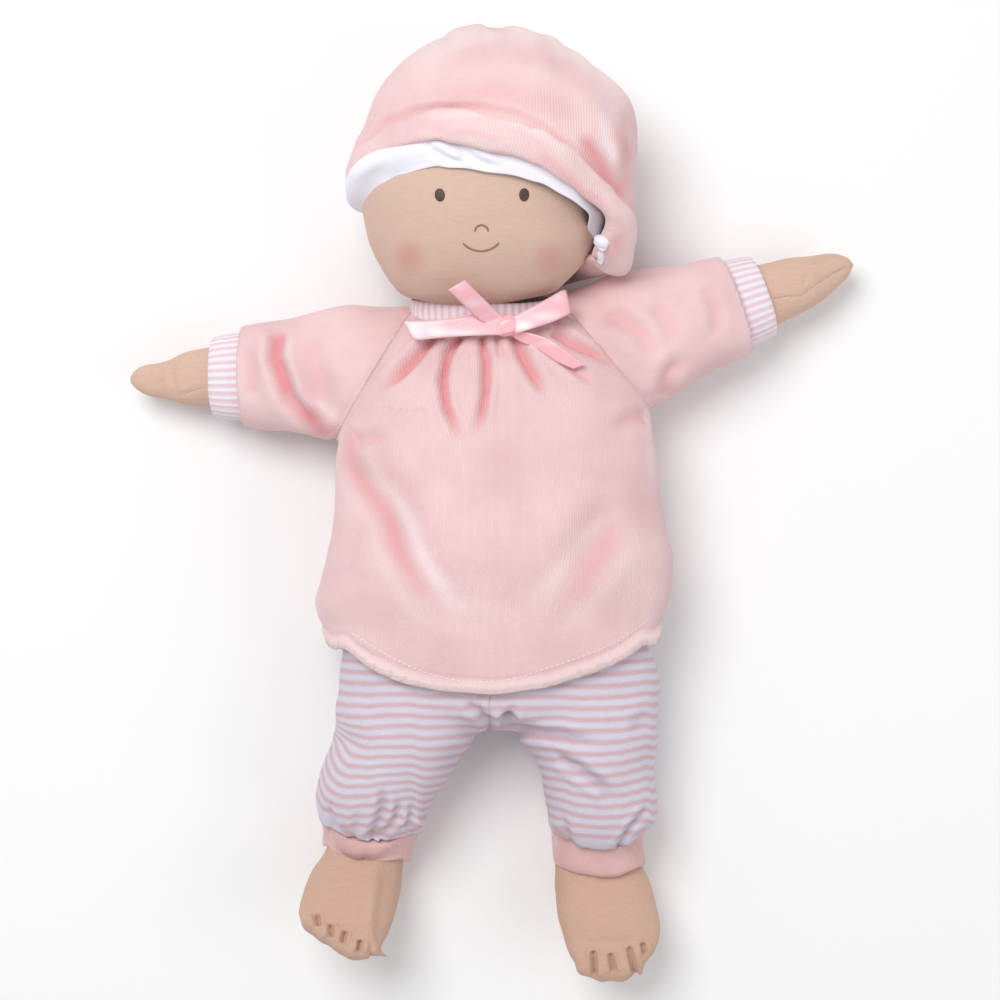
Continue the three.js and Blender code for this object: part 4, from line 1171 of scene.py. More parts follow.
def tube(name, line, radius, material, sides=8, flat=1.0):
    """A thread or cord of even thickness through points, with closed ends."""
    line = np.asarray(line, float)
    along = np.gradient(line, axis=0)
    along /= np.linalg.norm(along, axis=1)[:, None]
    side = np.cross(along, UP)
    side /= np.maximum(np.linalg.norm(side, axis=1), 1e-6)[:, None]
    up = np.cross(side, along)
    radii = np.full(len(line), float(radius))
    radii[0] = radii[-1] = radius * 0.35
    turn = turns_of(sides)
    rings = (line[:, None] + side[:, None] * np.cos(turn)[None, :, None] * radii[:, None, None]
             + up[:, None] * np.sin(turn)[None, :, None] * radii[:, None, None] * flat)
    return loft(name, rings, material)


def join_pieces(name, pieces):
    """One object from several, keeping the first one's material."""
    bpy.ops.object.select_all(action="DESELECT")
    for piece in pieces:
        piece.select_set(True)
    bpy.context.view_layer.objects.active = pieces[0]
    bpy.ops.object.join()
    pieces[0].name = name
    pieces[0].data.name = name
    return pieces[0]


def stitch_row(name, line, pitch, length, radius, material):
    """Small stitches along a line of points, one thread length each."""
    line = np.asarray(line, float)
    lengths = np.concatenate([[0], np.cumsum(np.linalg.norm(np.diff(line, axis=0), axis=1))])
    pieces = []
    for start in np.arange(pitch / 2, lengths[-1] - length, pitch):
        steps = start + np.linspace(0, length, 5)
        points = np.stack([np.interp(steps, lengths, line[:, k]) for k in range(3)], axis=1)
        points[:, 2] -= radius * 0.9 * np.array([1.6, 0.3, 0.0, 0.3, 1.6])
        pieces.append(tube(name + str(len(pieces)), points, radius, material, sides=6))
    return join_pieces(name, pieces)


print("stuffing helpers ready")

# %% [markdown]
# ## Head
# The head is a ball of jersey, a little wider than deep. It carries the face: satin-stitched
# eyes, a nose and a smile of floss, and blushed cheeks, which are in the jersey's material.

# %% Head
HEAD_HALF_WIDTH = 42.0
HEAD_DEPTH = 67.5
head_form = make_form(
    [(-5.3, 146.5, 0), (-5.3, 239.5, 0)], HEAD_HALF_WIDTH, HEAD_DEPTH,
    [(0, 0.93, 0.93, 0.88, 0.24), (0.25, 0.955, 0.955, 0.96, 0.04), (0.4, 1, 1, 1, 0),
     (0.6, 0.99, 0.99, 0.985, 0), (0.8, 0.92, 0.92, 0.93, 0.03), (1, 0.84, 0.84, 0.86, 0.1)],
    rounds=(0.27, 0.4), square=2.15, back=6.5)


def eased_shares(start, end, count):
    """Shares crowded towards both ends, where rounded forms turn fastest."""
    return start + (end - start) * (1 - np.cos(np.pi * np.linspace(0, 1, count))) / 2


def form_rings(form, shares, count, grow=0.0):
    return surface(form, shares[:, None], ring_angles(count)[None, :], grow)


TIP = 0.004
head = loft("head_ball", form_rings(head_form, eased_shares(TIP, 1 - TIP, 44), 72), face_jersey)
stuff(head, 2.6, 0.6)
HEAD_FOLDS = [
    ([(494, 297), (501, 300), (508, 298)], 2.2, -0.5, (0.3, 0.3)),
    ([(404, 291), (424, 299), (452, 304)], 5, -0.5, (0.3, 0.3)),
]
fold_cloth(head, HEAD_FOLDS)
draw_to_outline(head, 0, [(230, 365, 597), (246, 369, 596), (260, 374, 589), (275, 382, 579),
                          (284, 390, 569)], fade=14, window=5, evenings=14)
draw_to_outline(head, 1, [(410, None, 299), (430, None, 304), (450, None, 306.5), (480, None, 306.5),
                          (510, None, 303.5), (540, None, 297)], fade=30, window=6, evenings=20)
rider(head, "head", "skin_jersey", "head")
print("head:", len(head.data.polygons), "faces")

# %% Face
EYES = [("left_eye", 524.2, 194.8, 0.02), ("right_eye", 439.8, 195.0, -0.1)]
EYE_HALF_WIDTH = 5.5
EYE_HALF_HEIGHT = 7.2


def satin_eye(node, x, y, tilt):
    """An oval of close parallel stitches: a pad that rises from its rim, ribbed across."""
    rings, around = 9, 40
    rows = []
    for r in range(rings):
        share = 1 - r / (rings - 0.6)
        turn = turns_of(around)
        wide, high = np.cos(turn) * EYE_HALF_WIDTH * share, np.sin(turn) * EYE_HALF_HEIGHT * share
        places = np.stack([x + wide * math.cos(tilt) - high * math.sin(tilt),
                           y + wide * math.sin(tilt) + high * math.cos(tilt)], axis=1)
        ribs = 0.05 * np.cos(high * 3.2)
        rise = 0.5 * math.sqrt(max(1 - share ** 2, 0)) + 0.05
        seats = seat_on(head, places)
        seats[:, 2] += rise + ribs * (1 - share ** 4) - (0.5 if r == 0 else 0)
        rows.append(seats)
    eye = loft(node + "_stitches", np.array(rows), eye_thread)
    return rider(eye, "head", "eye_thread", node)


for eye in EYES:
    satin_eye(*eye)


def floss_line(name, node, points, radius):
    seats = seat_on(head, drawn_line(points, 26), radius * 0.4)
    thread = tube(name, seats, radius, face_thread, flat=0.8)
    return rider(thread, "head", "face_thread", node)


floss_line("nose_floss", "nose_stitch",
           [(474.6, 231.3), (476.4, 227.2), (481.5, 224.9), (486.6, 227.2), (488.4, 231.3)], 0.32)
floss_line("mouth_floss", "mouth_stitch",
           [(462.8, 242.6), (467, 246.6), (474, 249.9), (481, 251), (488, 249.8), (495, 246.4),
            (499.2, 242.2)], 0.3)
print("face stitched")

# %% [markdown]
# ## Body and neck
# The body bag and the neck fill the clothes. They hardly show, but a doll without them would
# be hollow when it is seen from below or when its head turns.

# %% Body bag and neck
TORSO_OUTLINE = [
    (0, 0.88, 0.96, 0.655, 0.63), (0.07, 0.94, 1.02, 0.82, 0.06), (0.2, 0.94, 1.03, 0.91, 0.06),
    (0.42, 0.93, 1.02, 0.99, 0.06), (0.6, 0.89, 0.96, 0.98, 0.06), (0.77, 0.79, 0.86, 0.89, 0.06),
    (0.87, 0.78, 0.86, 0.79, 0.07), (0.95, 0.72, 0.8, 0.71, 0.11), (1, 0.47, 0.38, 0.62, 0.22)]
TORSO_LENGTH = 143.0
TORSO_HALF_WIDTH = 54.0
TORSO_DEPTH = 60.0
torso_spine = [(0, 0, 0), (0, TORSO_LENGTH, 0)]
torso_form = make_form(torso_spine, TORSO_HALF_WIDTH, TORSO_DEPTH, TORSO_OUTLINE, square=2.4)
body_bag = loft("body_bag", form_rings(torso_form, np.linspace(0.005, 0.985, 26), 64, -0.6), skin_jersey)
rider(body_bag, "torso", "skin_jersey", "torso")

NECK_Z = 28.0
NECK_PROFILE = [(13.6, -12.6), (13.2, -6), (12.2, 0), (12.4, 6), (14.6, 11), (15.6, 17), (15.4, 22),
                (13.4, 27.5), (9.5, 32), (4, 34.6)]


def neck_rings():
    turn = ring_angles(40)
    return np.array([np.stack([NECK_X + r * np.cos(turn), np.full(40, TORSO_LENGTH + y),
                               NECK_Z + r * np.sin(turn)], axis=1) for r, y in NECK_PROFILE]) + HIPS_PLACE


neck = loft("neck_stub", neck_rings(), skin_jersey)
rider(neck, "neck", "skin_jersey", "neck")
print("body and neck filled")

# %% [markdown]
# ## Arms and hands
# An arm is one bag that ends in a mitten hand. A seam runs along its lower side and the tip
# is folded over. Most of the arm is inside the sleeve, but the whole of it is made, because
# the pull of the sleeve depends on what is in it.

# %% Arms
ARM_ROOT = (43.5, 22.0)
ARM_TIP_Z = 14.0
ARM_OUTLINE = [
    (0, 0.6, 0.6, 0.02, -0.02), (0.1, 0.72, 0.72, 0.33, -0.36), (0.3, 0.74, 0.74, 0.4, -0.43),
    (0.55, 0.66, 0.66, 0.36, -0.4), (0.67, 0.58, 0.58, 0.3, -0.34), (0.78, 0.53, 0.5, 0.27, -0.3),
    (0.88, 0.42, 0.36, 0.23, -0.26), (1, 0.26, 0.22, 0.16, -0.18)]


def arm_spine(pose):
    y, lift = TORSO_LENGTH - pose["drop"], pose["lift"]
    reach = math.sqrt(pose["length"] ** 2 - lift ** 2)
    return [(ARM_ROOT[0], y, ARM_ROOT[1]), (ARM_ROOT[0] + reach, y + lift, ARM_TIP_Z)]


SIDES = {
    "left": {"mirror": 1, "length": 96.4, "drop": 11.0, "lift": 31.4},
    "right": {"mirror": -1, "length": 92.2, "drop": 21.0, "lift": -1.5},
}
ARM_HALF_WIDTH = 20.0
ARM_DEPTH = 30.0


def arm_form(side, outline, **more):
    pose = SIDES[side]
    return make_form(arm_spine(pose), ARM_HALF_WIDTH, ARM_DEPTH, outline, mirror=pose["mirror"], **more)


HAND_OUTLINES = {
    "left": [(0.66, 0.56, 0.6, 0.31, -0.34), (0.76, 0.52, 0.55, 0.3, -0.3), (0.85, 0.42, 0.44, 0.22, -0.24),
             (0.92, 0.36, 0.3, 0.17, -0.2), (1, 0.3, 0.2, 0.14, -0.15)],
    "right": [(0.66, 0.58, 0.58, 0.31, -0.34), (0.76, 0.5, 0.52, 0.3, -0.3), (0.83, 0.36, 0.42, 0.23, -0.25),
              (0.9, 0.3, 0.36, 0.17, -0.2), (1, 0.26, 0.24, 0.14, -0.15)],
}
HAND_FOLDS = {
    "left": [
        ([(808, 262), (822, 260), (838, 254), (849, 258)], 3.0, -1.1, (0.25, 0.3)),
        ([(812, 268), (826, 272), (838, 270)], 4.0, 0.5, (0.3, 0.3)),
        ([(771, 299), (787, 296), (803, 295), (815, 284), (832, 274), (849, 266)], 1.6, -0.5, (0.05, 0.1)),
        ([(807, 270), (806, 284), (815, 292)], 4.0, -0.6, (0.3, 0.3)),
    ],
    "right": [
        ([(150, 366), (160, 364), (171, 362)], 2.6, -0.9, (0.3, 0.2)),
        ([(172, 362), (173, 374), (170, 388)], 3.6, -0.9, (0.2, 0.3)),
        ([(177, 395), (188, 392), (206, 386)], 1.6, -0.5, (0.1, 0.05)),
        ([(168, 379), (160, 383), (150, 386)], 3.0, -0.4, (0.3, 0.3)),
    ],
}
HAND_SEAMS = {
    "left": [(772, 298.5), (787, 296), (802, 295), (814, 286), (830, 275), (846, 266)],
    "right": [(178, 395), (188, 392.3), (204, 387)],
}
arm_forms = {}
for side in SIDES:
    form = arm_form(side, ARM_OUTLINE[:4] + HAND_OUTLINES[side], rounds=(0, 0.09))
    arm_forms[side] = arm_form(side, ARM_OUTLINE)
    shares = np.concatenate([np.linspace(0.02, 0.6, 12), eased_shares(0.62, 1 - TIP, 26)])
    arm = loft(side + "_arm_bag", form_rings(form, shares, 48, -0.3), skin_jersey)
    stuff(arm, 2.0, 0.5)
    fold_cloth(arm, HAND_FOLDS[side])
    roughen(arm, 14, 0.25, 5)
    rider(arm, side + "_arm", "skin_jersey", side + "_arm")
    seam = seat_on(arm, drawn_line(HAND_SEAMS[side], 30), 0.02)
    stitches = stitch_row(side + "_hand_seam", seam, 1.3, 1.0, 0.16, seam_thread)
    rider(stitches, side + "_arm", "skin_jersey")
print("arms stuffed")

# %% [markdown]
# ## Smock
# The smock is the largest piece, so most of the cloth's story is told on it: gathers run down
# from the neckband, the raglan seams pull in, and the middle sinks softly over the stuffing.
# It is a body and two sleeves, merged and then cut apart again where they are sewn.

# %% Smock and sleeves, merged
SMOCK_EASES = [
    (0.02, 0.9, 0.7, 1.35, 0.41), (0.1, 0.9, 0.65, 0.82, 0.41), (0.2, 1.1, 0.66, 0.66, 0.41),
    (0.27, 1.4, 0.88, 0.56, 0.41), (0.42, 1, 0.98, 0.46, 0.41), (0.6, 0.94, 0.88, 0.46, 0.41),
    (0.77, 1.02, 1.1, 0.54, 0.41), (0.87, 0.7, 0.72, 0.52, 0.43), (1, 0.62, 0.62, 0.62, 0.5)]
SLEEVE_EASES = [
    (0, 1.25, 1.4, 2, 2), (0.1, 1.12, 1.15, 1.05, 0.98), (0.2, 0.92, 0.92, 0.86, 0.8),
    (0.35, 0.6, 0.6, 0.72, 0.66), (0.5, 0.56, 0.56, 0.6, 0.58), (0.56, 0.5, 0.5, 0.52, 0.52)]
HEM = (0.185, 0.2, 0.03, 0.13)
SMOCK_TOP = (0.985, 1.035, 0.97, 1.012)
EASE = 10.0
smock_form = make_form(torso_spine, TORSO_HALF_WIDTH, TORSO_DEPTH, TORSO_OUTLINE,
                       ease=EASE, eases=SMOCK_EASES, square=2.4)


def hump(value, low, high):
    """A smooth rise and fall between two values."""
    return np.sin(math.pi * np.clip((value - low) / (high - low), 0, 1))


def edge_at(shares, angle):
    """Where a slanting edge crosses a form, from its shares at the first, second, front and back.
    Three more numbers lift it between the front and the second side, the front and the first side,
    and the back and the first side."""
    first, second, front, behind = shares[:4]
    side = (first + second) / 2 + np.cos(angle) * (first - second) / 2
    height = np.sin(angle)
    edge = side + (np.where(height > 0, front, behind) - side) * np.abs(height) ** 1.4
    if len(shares) > 4:
        turn = np.degrees(angle) % 360
        edge = edge + shares[4] * hump(turn, 70, 195) + shares[5] * hump(turn, 5, 85)
        edge = edge + shares[6] * hump(turn, 270, 360)
    return edge


def edged_rings(form, low, high, steps, count, grow=0.0):
    """Rings between two slanting edges of a form, at steps from 0 to 1."""
    angles = ring_angles(count)[None, :]
    start = edge_at(low, angles)
    shares = start + (edge_at(high, angles) - start) * np.asarray(steps)[:, None]
    return surface(form, shares, angles, grow)


smock_rings = edged_rings(smock_form, HEM, SMOCK_TOP, np.linspace(0, 1, 60), 160)
smock_part = garment_part(smock_rings, 20, True, True)
SLEEVE_INSIDE = 27.0
SLEEVE_END = 48.0
sleeve_parts = []
for side in SIDES:
    form = arm_form(side, ARM_OUTLINE, ease=EASE, eases=SLEEVE_EASES)
    shares = np.linspace(-SLEEVE_INSIDE, SLEEVE_END, 36) / form["length"][-1]
    rows = form_rings(form, shares, 90)
    sleeve_parts.append(garment_part(rows, 24, False, True))
smock = merged("smock", [smock_part] + sleeve_parts, 1.9, velour)
print("smock and sleeves:", len(smock.data.polygons), "faces")

# %% Smock folds
RAGLANS = {
    "left": (np.array([24.5, 147.0, 0]), np.array([61.5, 104.0, 0])),
    "right": (np.array([-32.5, 139.0, 0]), np.array([-58.5, 96.0, 0])),
}
SMOCK_FOLDS = [
    ([(436, 334), (418, 356), (396, 378), (370, 396)], 6, -2.2, (0.02, 0.5)),
    ([(452, 334), (440, 352), (424, 372)], 5, -0.8, (0.02, 0.6)),
    ([(462, 334), (448, 354), (442, 380), (446, 408), (457, 434), (471, 452)], 5, -2.3, (0.02, 0.4)),
    ([(481, 334), (486, 360), (486, 389), (481, 418), (473, 446)], 5, -2.0, (0.02, 0.4)),
    ([(494, 334), (498, 350), (504, 366)], 4, -1.0, (0.02, 0.6)),
    ([(513, 334), (524, 359), (538, 382), (548, 404)], 6, -2.1, (0.02, 0.45)),
    ([(534, 338), (558, 358), (584, 380), (602, 395)], 4.5, -1.3, (0.02, 0.5)),
    ([(550, 332), (572, 346), (598, 358), (622, 372)], 6, -1.9, (0.05, 0.4)),
    ([(468, 350), (464, 376), (466, 404)], 10, 0.9, (0.2, 0.4)),
    ([(504, 350), (512, 376), (520, 404)], 9, 0.7, (0.2, 0.4)),
    ([(356, 452), (372, 500), (398, 548), (420, 590)], 24, -1.8, (0.3, 0.4)),
    ([(352, 430), (350, 470), (360, 510)], 12, -0.8, (0.3, 0.5)),
    ([(618, 506), (602, 540), (580, 572), (556, 596)], 22, -1.8, (0.3, 0.4)),
    ([(352, 446), (372, 440), (396, 446)], 8, -1.0, (0.1, 0.6)),
    ([(650, 424), (630, 428), (606, 444)], 9, -1.1, (0.1, 0.6)),
    ([(380, 411), (406, 413), (434, 411)], 1.6, -0.35, (0.2, 0.2)),
    ([(344, 520), (350, 570), (346, 610)], 14, -0.8, (0.4, 0.4)),
    ([(640, 470), (650, 520), (648, 570)], 14, -0.8, (0.4, 0.4)),
]
# Painted shade and painted sheen along lines, where the pile looks deeper or paler in the light: lines with
# widths and amounts
SMOCK_NAP_SHADING = [
    ([(346, 412), (350, 456), (362, 492), (384, 520), (397, 556), (420, 596), (455, 634)],
     10, -1.15, (0.2, 0.35)),
    ([(368, 466), (394, 500), (411, 534), (426, 572), (450, 606), (482, 632)], 9, 0.8, (0.25, 0.3)),
    ([(642, 540), (614, 554), (592, 582), (568, 614), (530, 640)], 12, -0.8, (0.3, 0.35)),
    ([(628, 518), (598, 534), (573, 560), (549, 590), (520, 614)], 8, 0.6, (0.25, 0.35)),
    ([(352, 600), (400, 650), (450, 668)], 18, -0.4, (0.3, 0.4)),
    ([(372, 440), (392, 480), (436, 530)], 14, -0.45, (0.3, 0.3)),
    ([(500, 420), (520, 480), (528, 560)], 30, -0.25, (0.3, 0.3)),
    ([(644, 400), (652, 450), (655, 500)], 8, 0.7, (0.3, 0.3)),
    ([(300, 404), (312, 418), (327, 436)], 9, -2.4, (0.4, 0.02)),
    ([(279, 330), (275, 360), (288, 396)], 7, -1.0, (0.2, 0.1)),
]
SMOCK_SPOTS = [
    (500, 455, 60, 95, -1.7), (455, 540, 60, 60, 1.2), (545, 500, 34, 60, 0.9), (505, 640, 70, 30, -0.6),
    (405, 420, 30, 40, 0.9), (590, 430, 30, 34, 0.8),
]
SLEEVE_FOLDS = [
    ([(279, 326), (275, 358), (290, 400), (318, 434)], 8, -2.2, (0.1, 0.25)),
    ([(318, 330), (312, 356), (322, 392), (336, 420)], 12, -1.4, (0.2, 0.4)),
    ([(246, 340), (252, 372), (250, 402)], 7, -0.7, (0.2, 0.2)),
    ([(600, 310), (636, 332), (664, 366)], 10, -1.5, (0.2, 0.4)),
    ([(650, 296), (668, 324), (676, 352)], 10, -1.1, (0.3, 0.3)),
    ([(706, 280), (716, 312), (716, 340)], 7, -0.7, (0.2, 0.2)),
    ([(664, 400), (668, 376), (684, 352)], 8, -1.2, (0.1, 0.4)),
]
HEM_STITCH = 5.2


def border_distance(piece, lowest):
    """How far each vertex is from the open edge whose points lie below a height of the doll."""
    points = coordinates(piece)
    edge = points[border_points(piece) & (points[:, 1] < lowest)]
    tree = KDTree(len(edge))
    for i, point in enumerate(edge):
        tree.insert(point, i)
    tree.balance()
    apart = np.array([[tree.find(point)[2]] for point in points])
    return evened(piece, apart, 4)[:, 0]


FOLD_GAIN = 1.45
HEM_REACH = 45.0
subdivide(smock)
fold_cloth(smock, [(line, width, depth * FOLD_GAIN, fades)
                   for line, width, depth, fades in SMOCK_FOLDS + SLEEVE_FOLDS], SMOCK_SPOTS)
from_hem = border_distance(smock, HIPS_PLACE[1] + HEM_REACH)
hem_roll = 0.7 * np.exp(-((from_hem - HEM_STITCH / 2) / 1.6) ** 2)
hem_groove = 0.6 * np.exp(-((from_hem - HEM_STITCH) / 0.9) ** 2)
set_coordinates(smock, coordinates(smock) + normals(smock) * (hem_roll - hem_groove)[:, None])
for side, (neck_point, underarm) in RAGLANS.items():
    line = underarm - neck_point
    seam_groove(smock, neck_point + HIPS_PLACE, (line[1], -line[0], 0), 1.5, 0.8)
# Painted shade and sheen for the velour: the fold depth, deeper and paler lines along the pile, and a paler
# hem band as painted sheen.
nap_shading = -fold_heights(to_sheet(coordinates(smock)), SMOCK_NAP_SHADING) * facing_up(smock)
hem_sheen = smoothstep(from_hem, 5.6, 2.0) * 0.8
set_attribute(smock, "painted_shade_and_highlight", get_attribute(smock, "painted_shade_and_highlight") * 0.8 + nap_shading - hem_sheen)
draw_to_outline(smock, 1, [
    (344, None, 651), (356, None, 661), (370, None, 671), (400, None, 684), (441, None, 692),
    (494, None, 695), (548, None, 688), (602, None, 669), (615, None, 661), (628, None, 652),
    (640, None, 644)], fade=24, window=4, evenings=16)
draw_to_outline(smock, 0, [
    (480, 335, 659), (500, 335, 662), (530, 332, 666), (545, 328, 671), (560, 324, 674), (590, 317, 672),
    (605, 315, 669), (620, 320, 663), (628, 324, 661)], fade=14, evenings=16)
roughen(smock, 46, 0.7, 3)
roughen(smock, 12, 0.22, 4)
print("smock folded")

# %% Cutting the smock at its raglan seams
def split_smock():
    rest = smock
    for side, (neck_point, underarm) in RAGLANS.items():
        line = underarm - neck_point
        outwards = np.array([-line[1], line[0], 0.0]) * SIDES[side]["mirror"]
        outwards /= np.linalg.norm(outwards)
        place = neck_point + HIPS_PLACE
        mark_cut(rest, place, outwards)
        sleeve = cut_away(rest, side + "_raglan_sleeve", place, outwards, True)
        body = cut_away(rest, "smock_body", place, outwards, False)
        bpy.data.objects.remove(rest)
        rest = body
        sleeve.data.materials[0] = sleeve_velour
        thicken(sleeve, 1.4)
        rider(sleeve, None, "velour", side + "_sleeve")
        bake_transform(sleeve)
    rest.name = rest.data.name = "smock_body"
    thicken(rest, 1.4)
    return rider(rest, "torso", "velour", "smock_front", "smock_back")


smock_body = split_smock()
HEM_LINE = [(350, 632), (372, 646), (400, 662), (441, 677), (467, 681.5), (508, 680), (548, 668),
            (588, 654.5), (620, 640), (646, 622)]
hem_seats = seat_on(smock_body, drawn_line(HEM_LINE, 160), 0.12)
hem_stitches = stitch_row("hem_stitches", hem_seats, 2.0, 1.45, 0.2, pink_thread)
rider(hem_stitches, "torso", "velour")


CLOTHS = {}


def cloth(piece, width, length, area, held, *under):
    """Records half the area of a garment piece's faces. The sheet it was cut from, in metres, its cut's
    area, how it is held and the pieces under it are not used.
    """
    CLOTHS[piece.name] = sum(face.area for face in piece.data.polygons) / 2


cloth(smock_body, 0.36, 0.15, 0.036, "gathered", "body_bag")
for side in SIDES:
    cloth(bpy.data.objects[side + "_raglan_sleeve"], 0.14, 0.075, 0.0073, "gathered", side + "_arm_bag")
print("cloth areas:", CLOTHS)

# %% [markdown]
# ## Cuffs
# Each wrist has a cuff of striped rib knit. Its ribs run along the arm.

# %% Wrist cuffs
CUFF_PROFILE = [(43.6, 0.6), (43.6, 2.0), (44.2, 2.7), (45.4, 2.9), (49.8, 3.0), (54.3, 3.0), (57.4, 2.9),
                (58.6, 2.7), (59.1, 2.2), (59.3, 1.4), (58.8, 0.5)]


def band(name, form, profile, count, material, slant=0.0, ribs=0.0, pitch=2.9):
    """A cuff: rings at distances down a form, each grown by an amount, closed over their ends."""
    shares = np.array([row[0] for row in profile])[:, None] / form["length"][-1]
    grow = np.array([row[1] for row in profile])[:, None]
    angles = ring_angles(count)[None, :]
    shares = shares + slant / form["length"][-1] * np.sin(angles)
    points = surface(form, shares, angles, grow)
    across = pattern_of(points, len(profile) // 2)[0]
    wave = ribs * np.cos(2 * math.pi * across / pitch)
    return loft(name, surface(form, shares, angles, grow + wave), material)


for side in SIDES:
    cuff = band(side + "_wrist_cuff", arm_forms[side], CUFF_PROFILE, 220, rib_knit, ribs=0.1, pitch=1.45)
    fold_cloth(cuff, [])
    roughen(cuff, 22, 0.2, 11)
    rider(cuff, side + "_arm", "striped_knit", side + "_cuff")
print("wrist cuffs ready")

# %% [markdown]
# ## Trousers
# Two legs and a seat are merged as the smock was, and cut along the centre seam. The stripes
# follow the distance down the cloth, so they bend with every fold.

# %% Trouser forms
LEG_OUTLINE = [
    (0, 0.9, 0.9, 0.337, 0.304), (0.09, 0.9, 0.9, 0.478, -0.46), (0.2, 0.78, 0.78, 0.46, -0.465),
    (0.32, 0.72, 0.72, 0.42, -0.43), (0.42, 0.62, 0.62, 0.35, -0.33), (0.5, 0.57, 0.57, 0.31, -0.32),
    (0.57, 0.65, 0.65, 0.3, -0.41), (0.66, 0.73, 0.73, 0.26, -0.35), (0.77, 0.75, 0.75, 0.22, -0.25),
    (0.88, 0.71, 0.71, 0.17, -0.19), (1, 0.6, 0.6, 0.12, -0.13)]
LEG_EASES = [
    (0, 0.42, 0.42, 1.2, 3.72), (0.09, 0.38, 0.38, 0.4, 0.16), (0.2, 0.42, 0.42, 0.34, 0.16),
    (0.32, 0.46, 0.46, 0.4, 0.16), (0.38, 0.42, 0.42, 0.4, 0.2), (0.42, 0.34, 0.34, 0.34, 0.3)]
HIPS_OUTLINE = [
    (0, 0.93, 0.9, 1.066, 0.06), (0.22, 0.96, 0.91, 1.04, 0.055), (0.32, 0.985, 0.925, 1.02, 0.03),
    (0.444, 1.02, 0.94, 1, 0.02), (0.667, 1.02, 0.94, 0.985, 0), (0.861, 0.98, 0.91, 0.95, 0),
    (1, 0.9, 0.84, 0.88, 0.04)]
LEGS = {
    "left": {"mirror": 1, "x": 34.0, "knee": 5.0, "ankle": 4.5, "toe": 10.0, "tilt": 20.0, "ankle_z": 15.8},
    "right": {"mirror": -1, "x": 31.0, "knee": 11.0, "ankle": 15.5, "toe": 22.0, "tilt": 41.0,
              "ankle_z": 14.4},
}
LEG_LENGTH = 53.0
LEG_HALF_WIDTH = 25.0
LEG_DEPTH = 46.0
FOOT_LENGTH = 50.5


def leg_spine(pose):
    tilt = math.radians(pose["tilt"])
    return [(pose["x"], -0.6, 24), (pose["x"], -LEG_LENGTH * 0.18, 24),
            (pose["x"] + pose["knee"], -LEG_LENGTH * 0.56, 22),
            (pose["x"] + pose["ankle"], -LEG_LENGTH, pose["ankle_z"]),
            (pose["x"] + pose["toe"], -LEG_LENGTH - FOOT_LENGTH * math.cos(tilt),
             pose["ankle_z"] + FOOT_LENGTH * math.sin(tilt))]


def leg_form(side, **more):
    pose = LEGS[side]
    return make_form(leg_spine(pose), LEG_HALF_WIDTH, LEG_DEPTH, LEG_OUTLINE, mirror=pose["mirror"], **more)


leg_forms = {side: leg_form(side, rounds=(0, 0.1)) for side in LEGS}
hips_form = make_form([(0, 28, 0), (0, -8, 0)], 60.0, 53.0, HIPS_OUTLINE, rounds=(0, 0.25), square=2.5,
                      back=0.6)
HIPS_TOP = 28.0
trouser_parts = [garment_part(form_rings(hips_form, np.linspace(0, 1 - TIP, 30), 120), 14, True, False)]
trouser_parts[0]["along"] = [HIPS_TOP + HIPS_PLACE[1] - vert[1] for vert in trouser_parts[0]["verts"]]
TROUSER_ENDS = {"left": 0.415, "right": 0.385}
for side in LEGS:
    form = leg_form(side, ease=EASE, eases=LEG_EASES)
    rows = form_rings(form, np.linspace(-0.03, TROUSER_ENDS[side], 30), 90)
    trouser_parts.append(garment_part(rows, 14, False, True, shift=25.5))
trousers = merged("trousers", trouser_parts, 1.7, trouser_knit)
print("trousers:", len(trousers.data.polygons), "faces")

# %% Trouser folds
TROUSER_FOLDS = [
    ([(369, 843), (386, 815), (392, 786)], 5, -1.8, (0.02, 0.4)),
    ([(378, 843), (398, 823), (411, 801)], 4, -1.5, (0.02, 0.4)),
    ([(406, 834), (422, 808)], 3.5, -1.0, (0.02, 0.5)),
    ([(334, 830), (330, 812), (334, 796)], 4, -0.9, (0.02, 0.6)),
    ([(352, 842), (356, 822), (362, 802)], 4, -0.7, (0.02, 0.6)),
    ([(540, 757), (568, 765), (601, 783), (622, 808)], 6, -2.0, (0.1, 0.4)),
    ([(617, 846), (630, 827), (653, 808)], 4, -1.6, (0.02, 0.3)),
    ([(575, 848), (566, 828), (556, 812)], 4, -1.0, (0.02, 0.5)),
    ([(500, 712), (516, 729), (542, 735), (570, 737), (606, 742)], 6, -1.9, (0.1, 0.45)),
    ([(463, 700), (478, 713), (494, 726)], 5, -1.6, (0.3, 0.02)),
    ([(514, 702), (512, 714), (500, 726)], 5, -1.3, (0.3, 0.02)),
    ([(350, 700), (376, 716), (410, 724)], 14, -0.8, (0.3, 0.4)),
    ([(650, 712), (640, 724), (636, 742)], 7, -0.9, (0.2, 0.4)),
    ([(480, 690), (480, 706), (484, 722)], 2.2, -0.8, (0.02, 0.1)),
]
TROUSER_SHAPES = {
    "right": [(0, [(742, 331, 475), (755, 325, 461), (770, 320, 448), (785, 317, 441), (800, 315, 436),
                   (815, 318, 428)]),
              (1, [(330, None, 829), (342, None, 836), (368, None, 842), (393, None, 840),
                   (412, None, 835)])],
    "left": [(0, [(742, 518, 659), (755, 534, 655), (770, 539, 654), (785, 541, 656), (800, 544, 658),
                  (815, 547, 657)]),
             (1, [(580, None, 848), (602, None, 851), (626, None, 848), (639, None, 841),
                  (647, None, 833)])],
}
TROUSER_SPOTS = [(390, 770, 34, 30, 0.9), (600, 770, 34, 30, 0.9)]
CENTRE_SEAM = np.array([-1.0, 0.0, 0.0]) + HIPS_PLACE
subdivide(trousers)
fold_cloth(trousers, TROUSER_FOLDS, TROUSER_SPOTS)
roughen(trousers, 30, 0.5, 7)
roughen(trousers, 9, 0.15, 8)
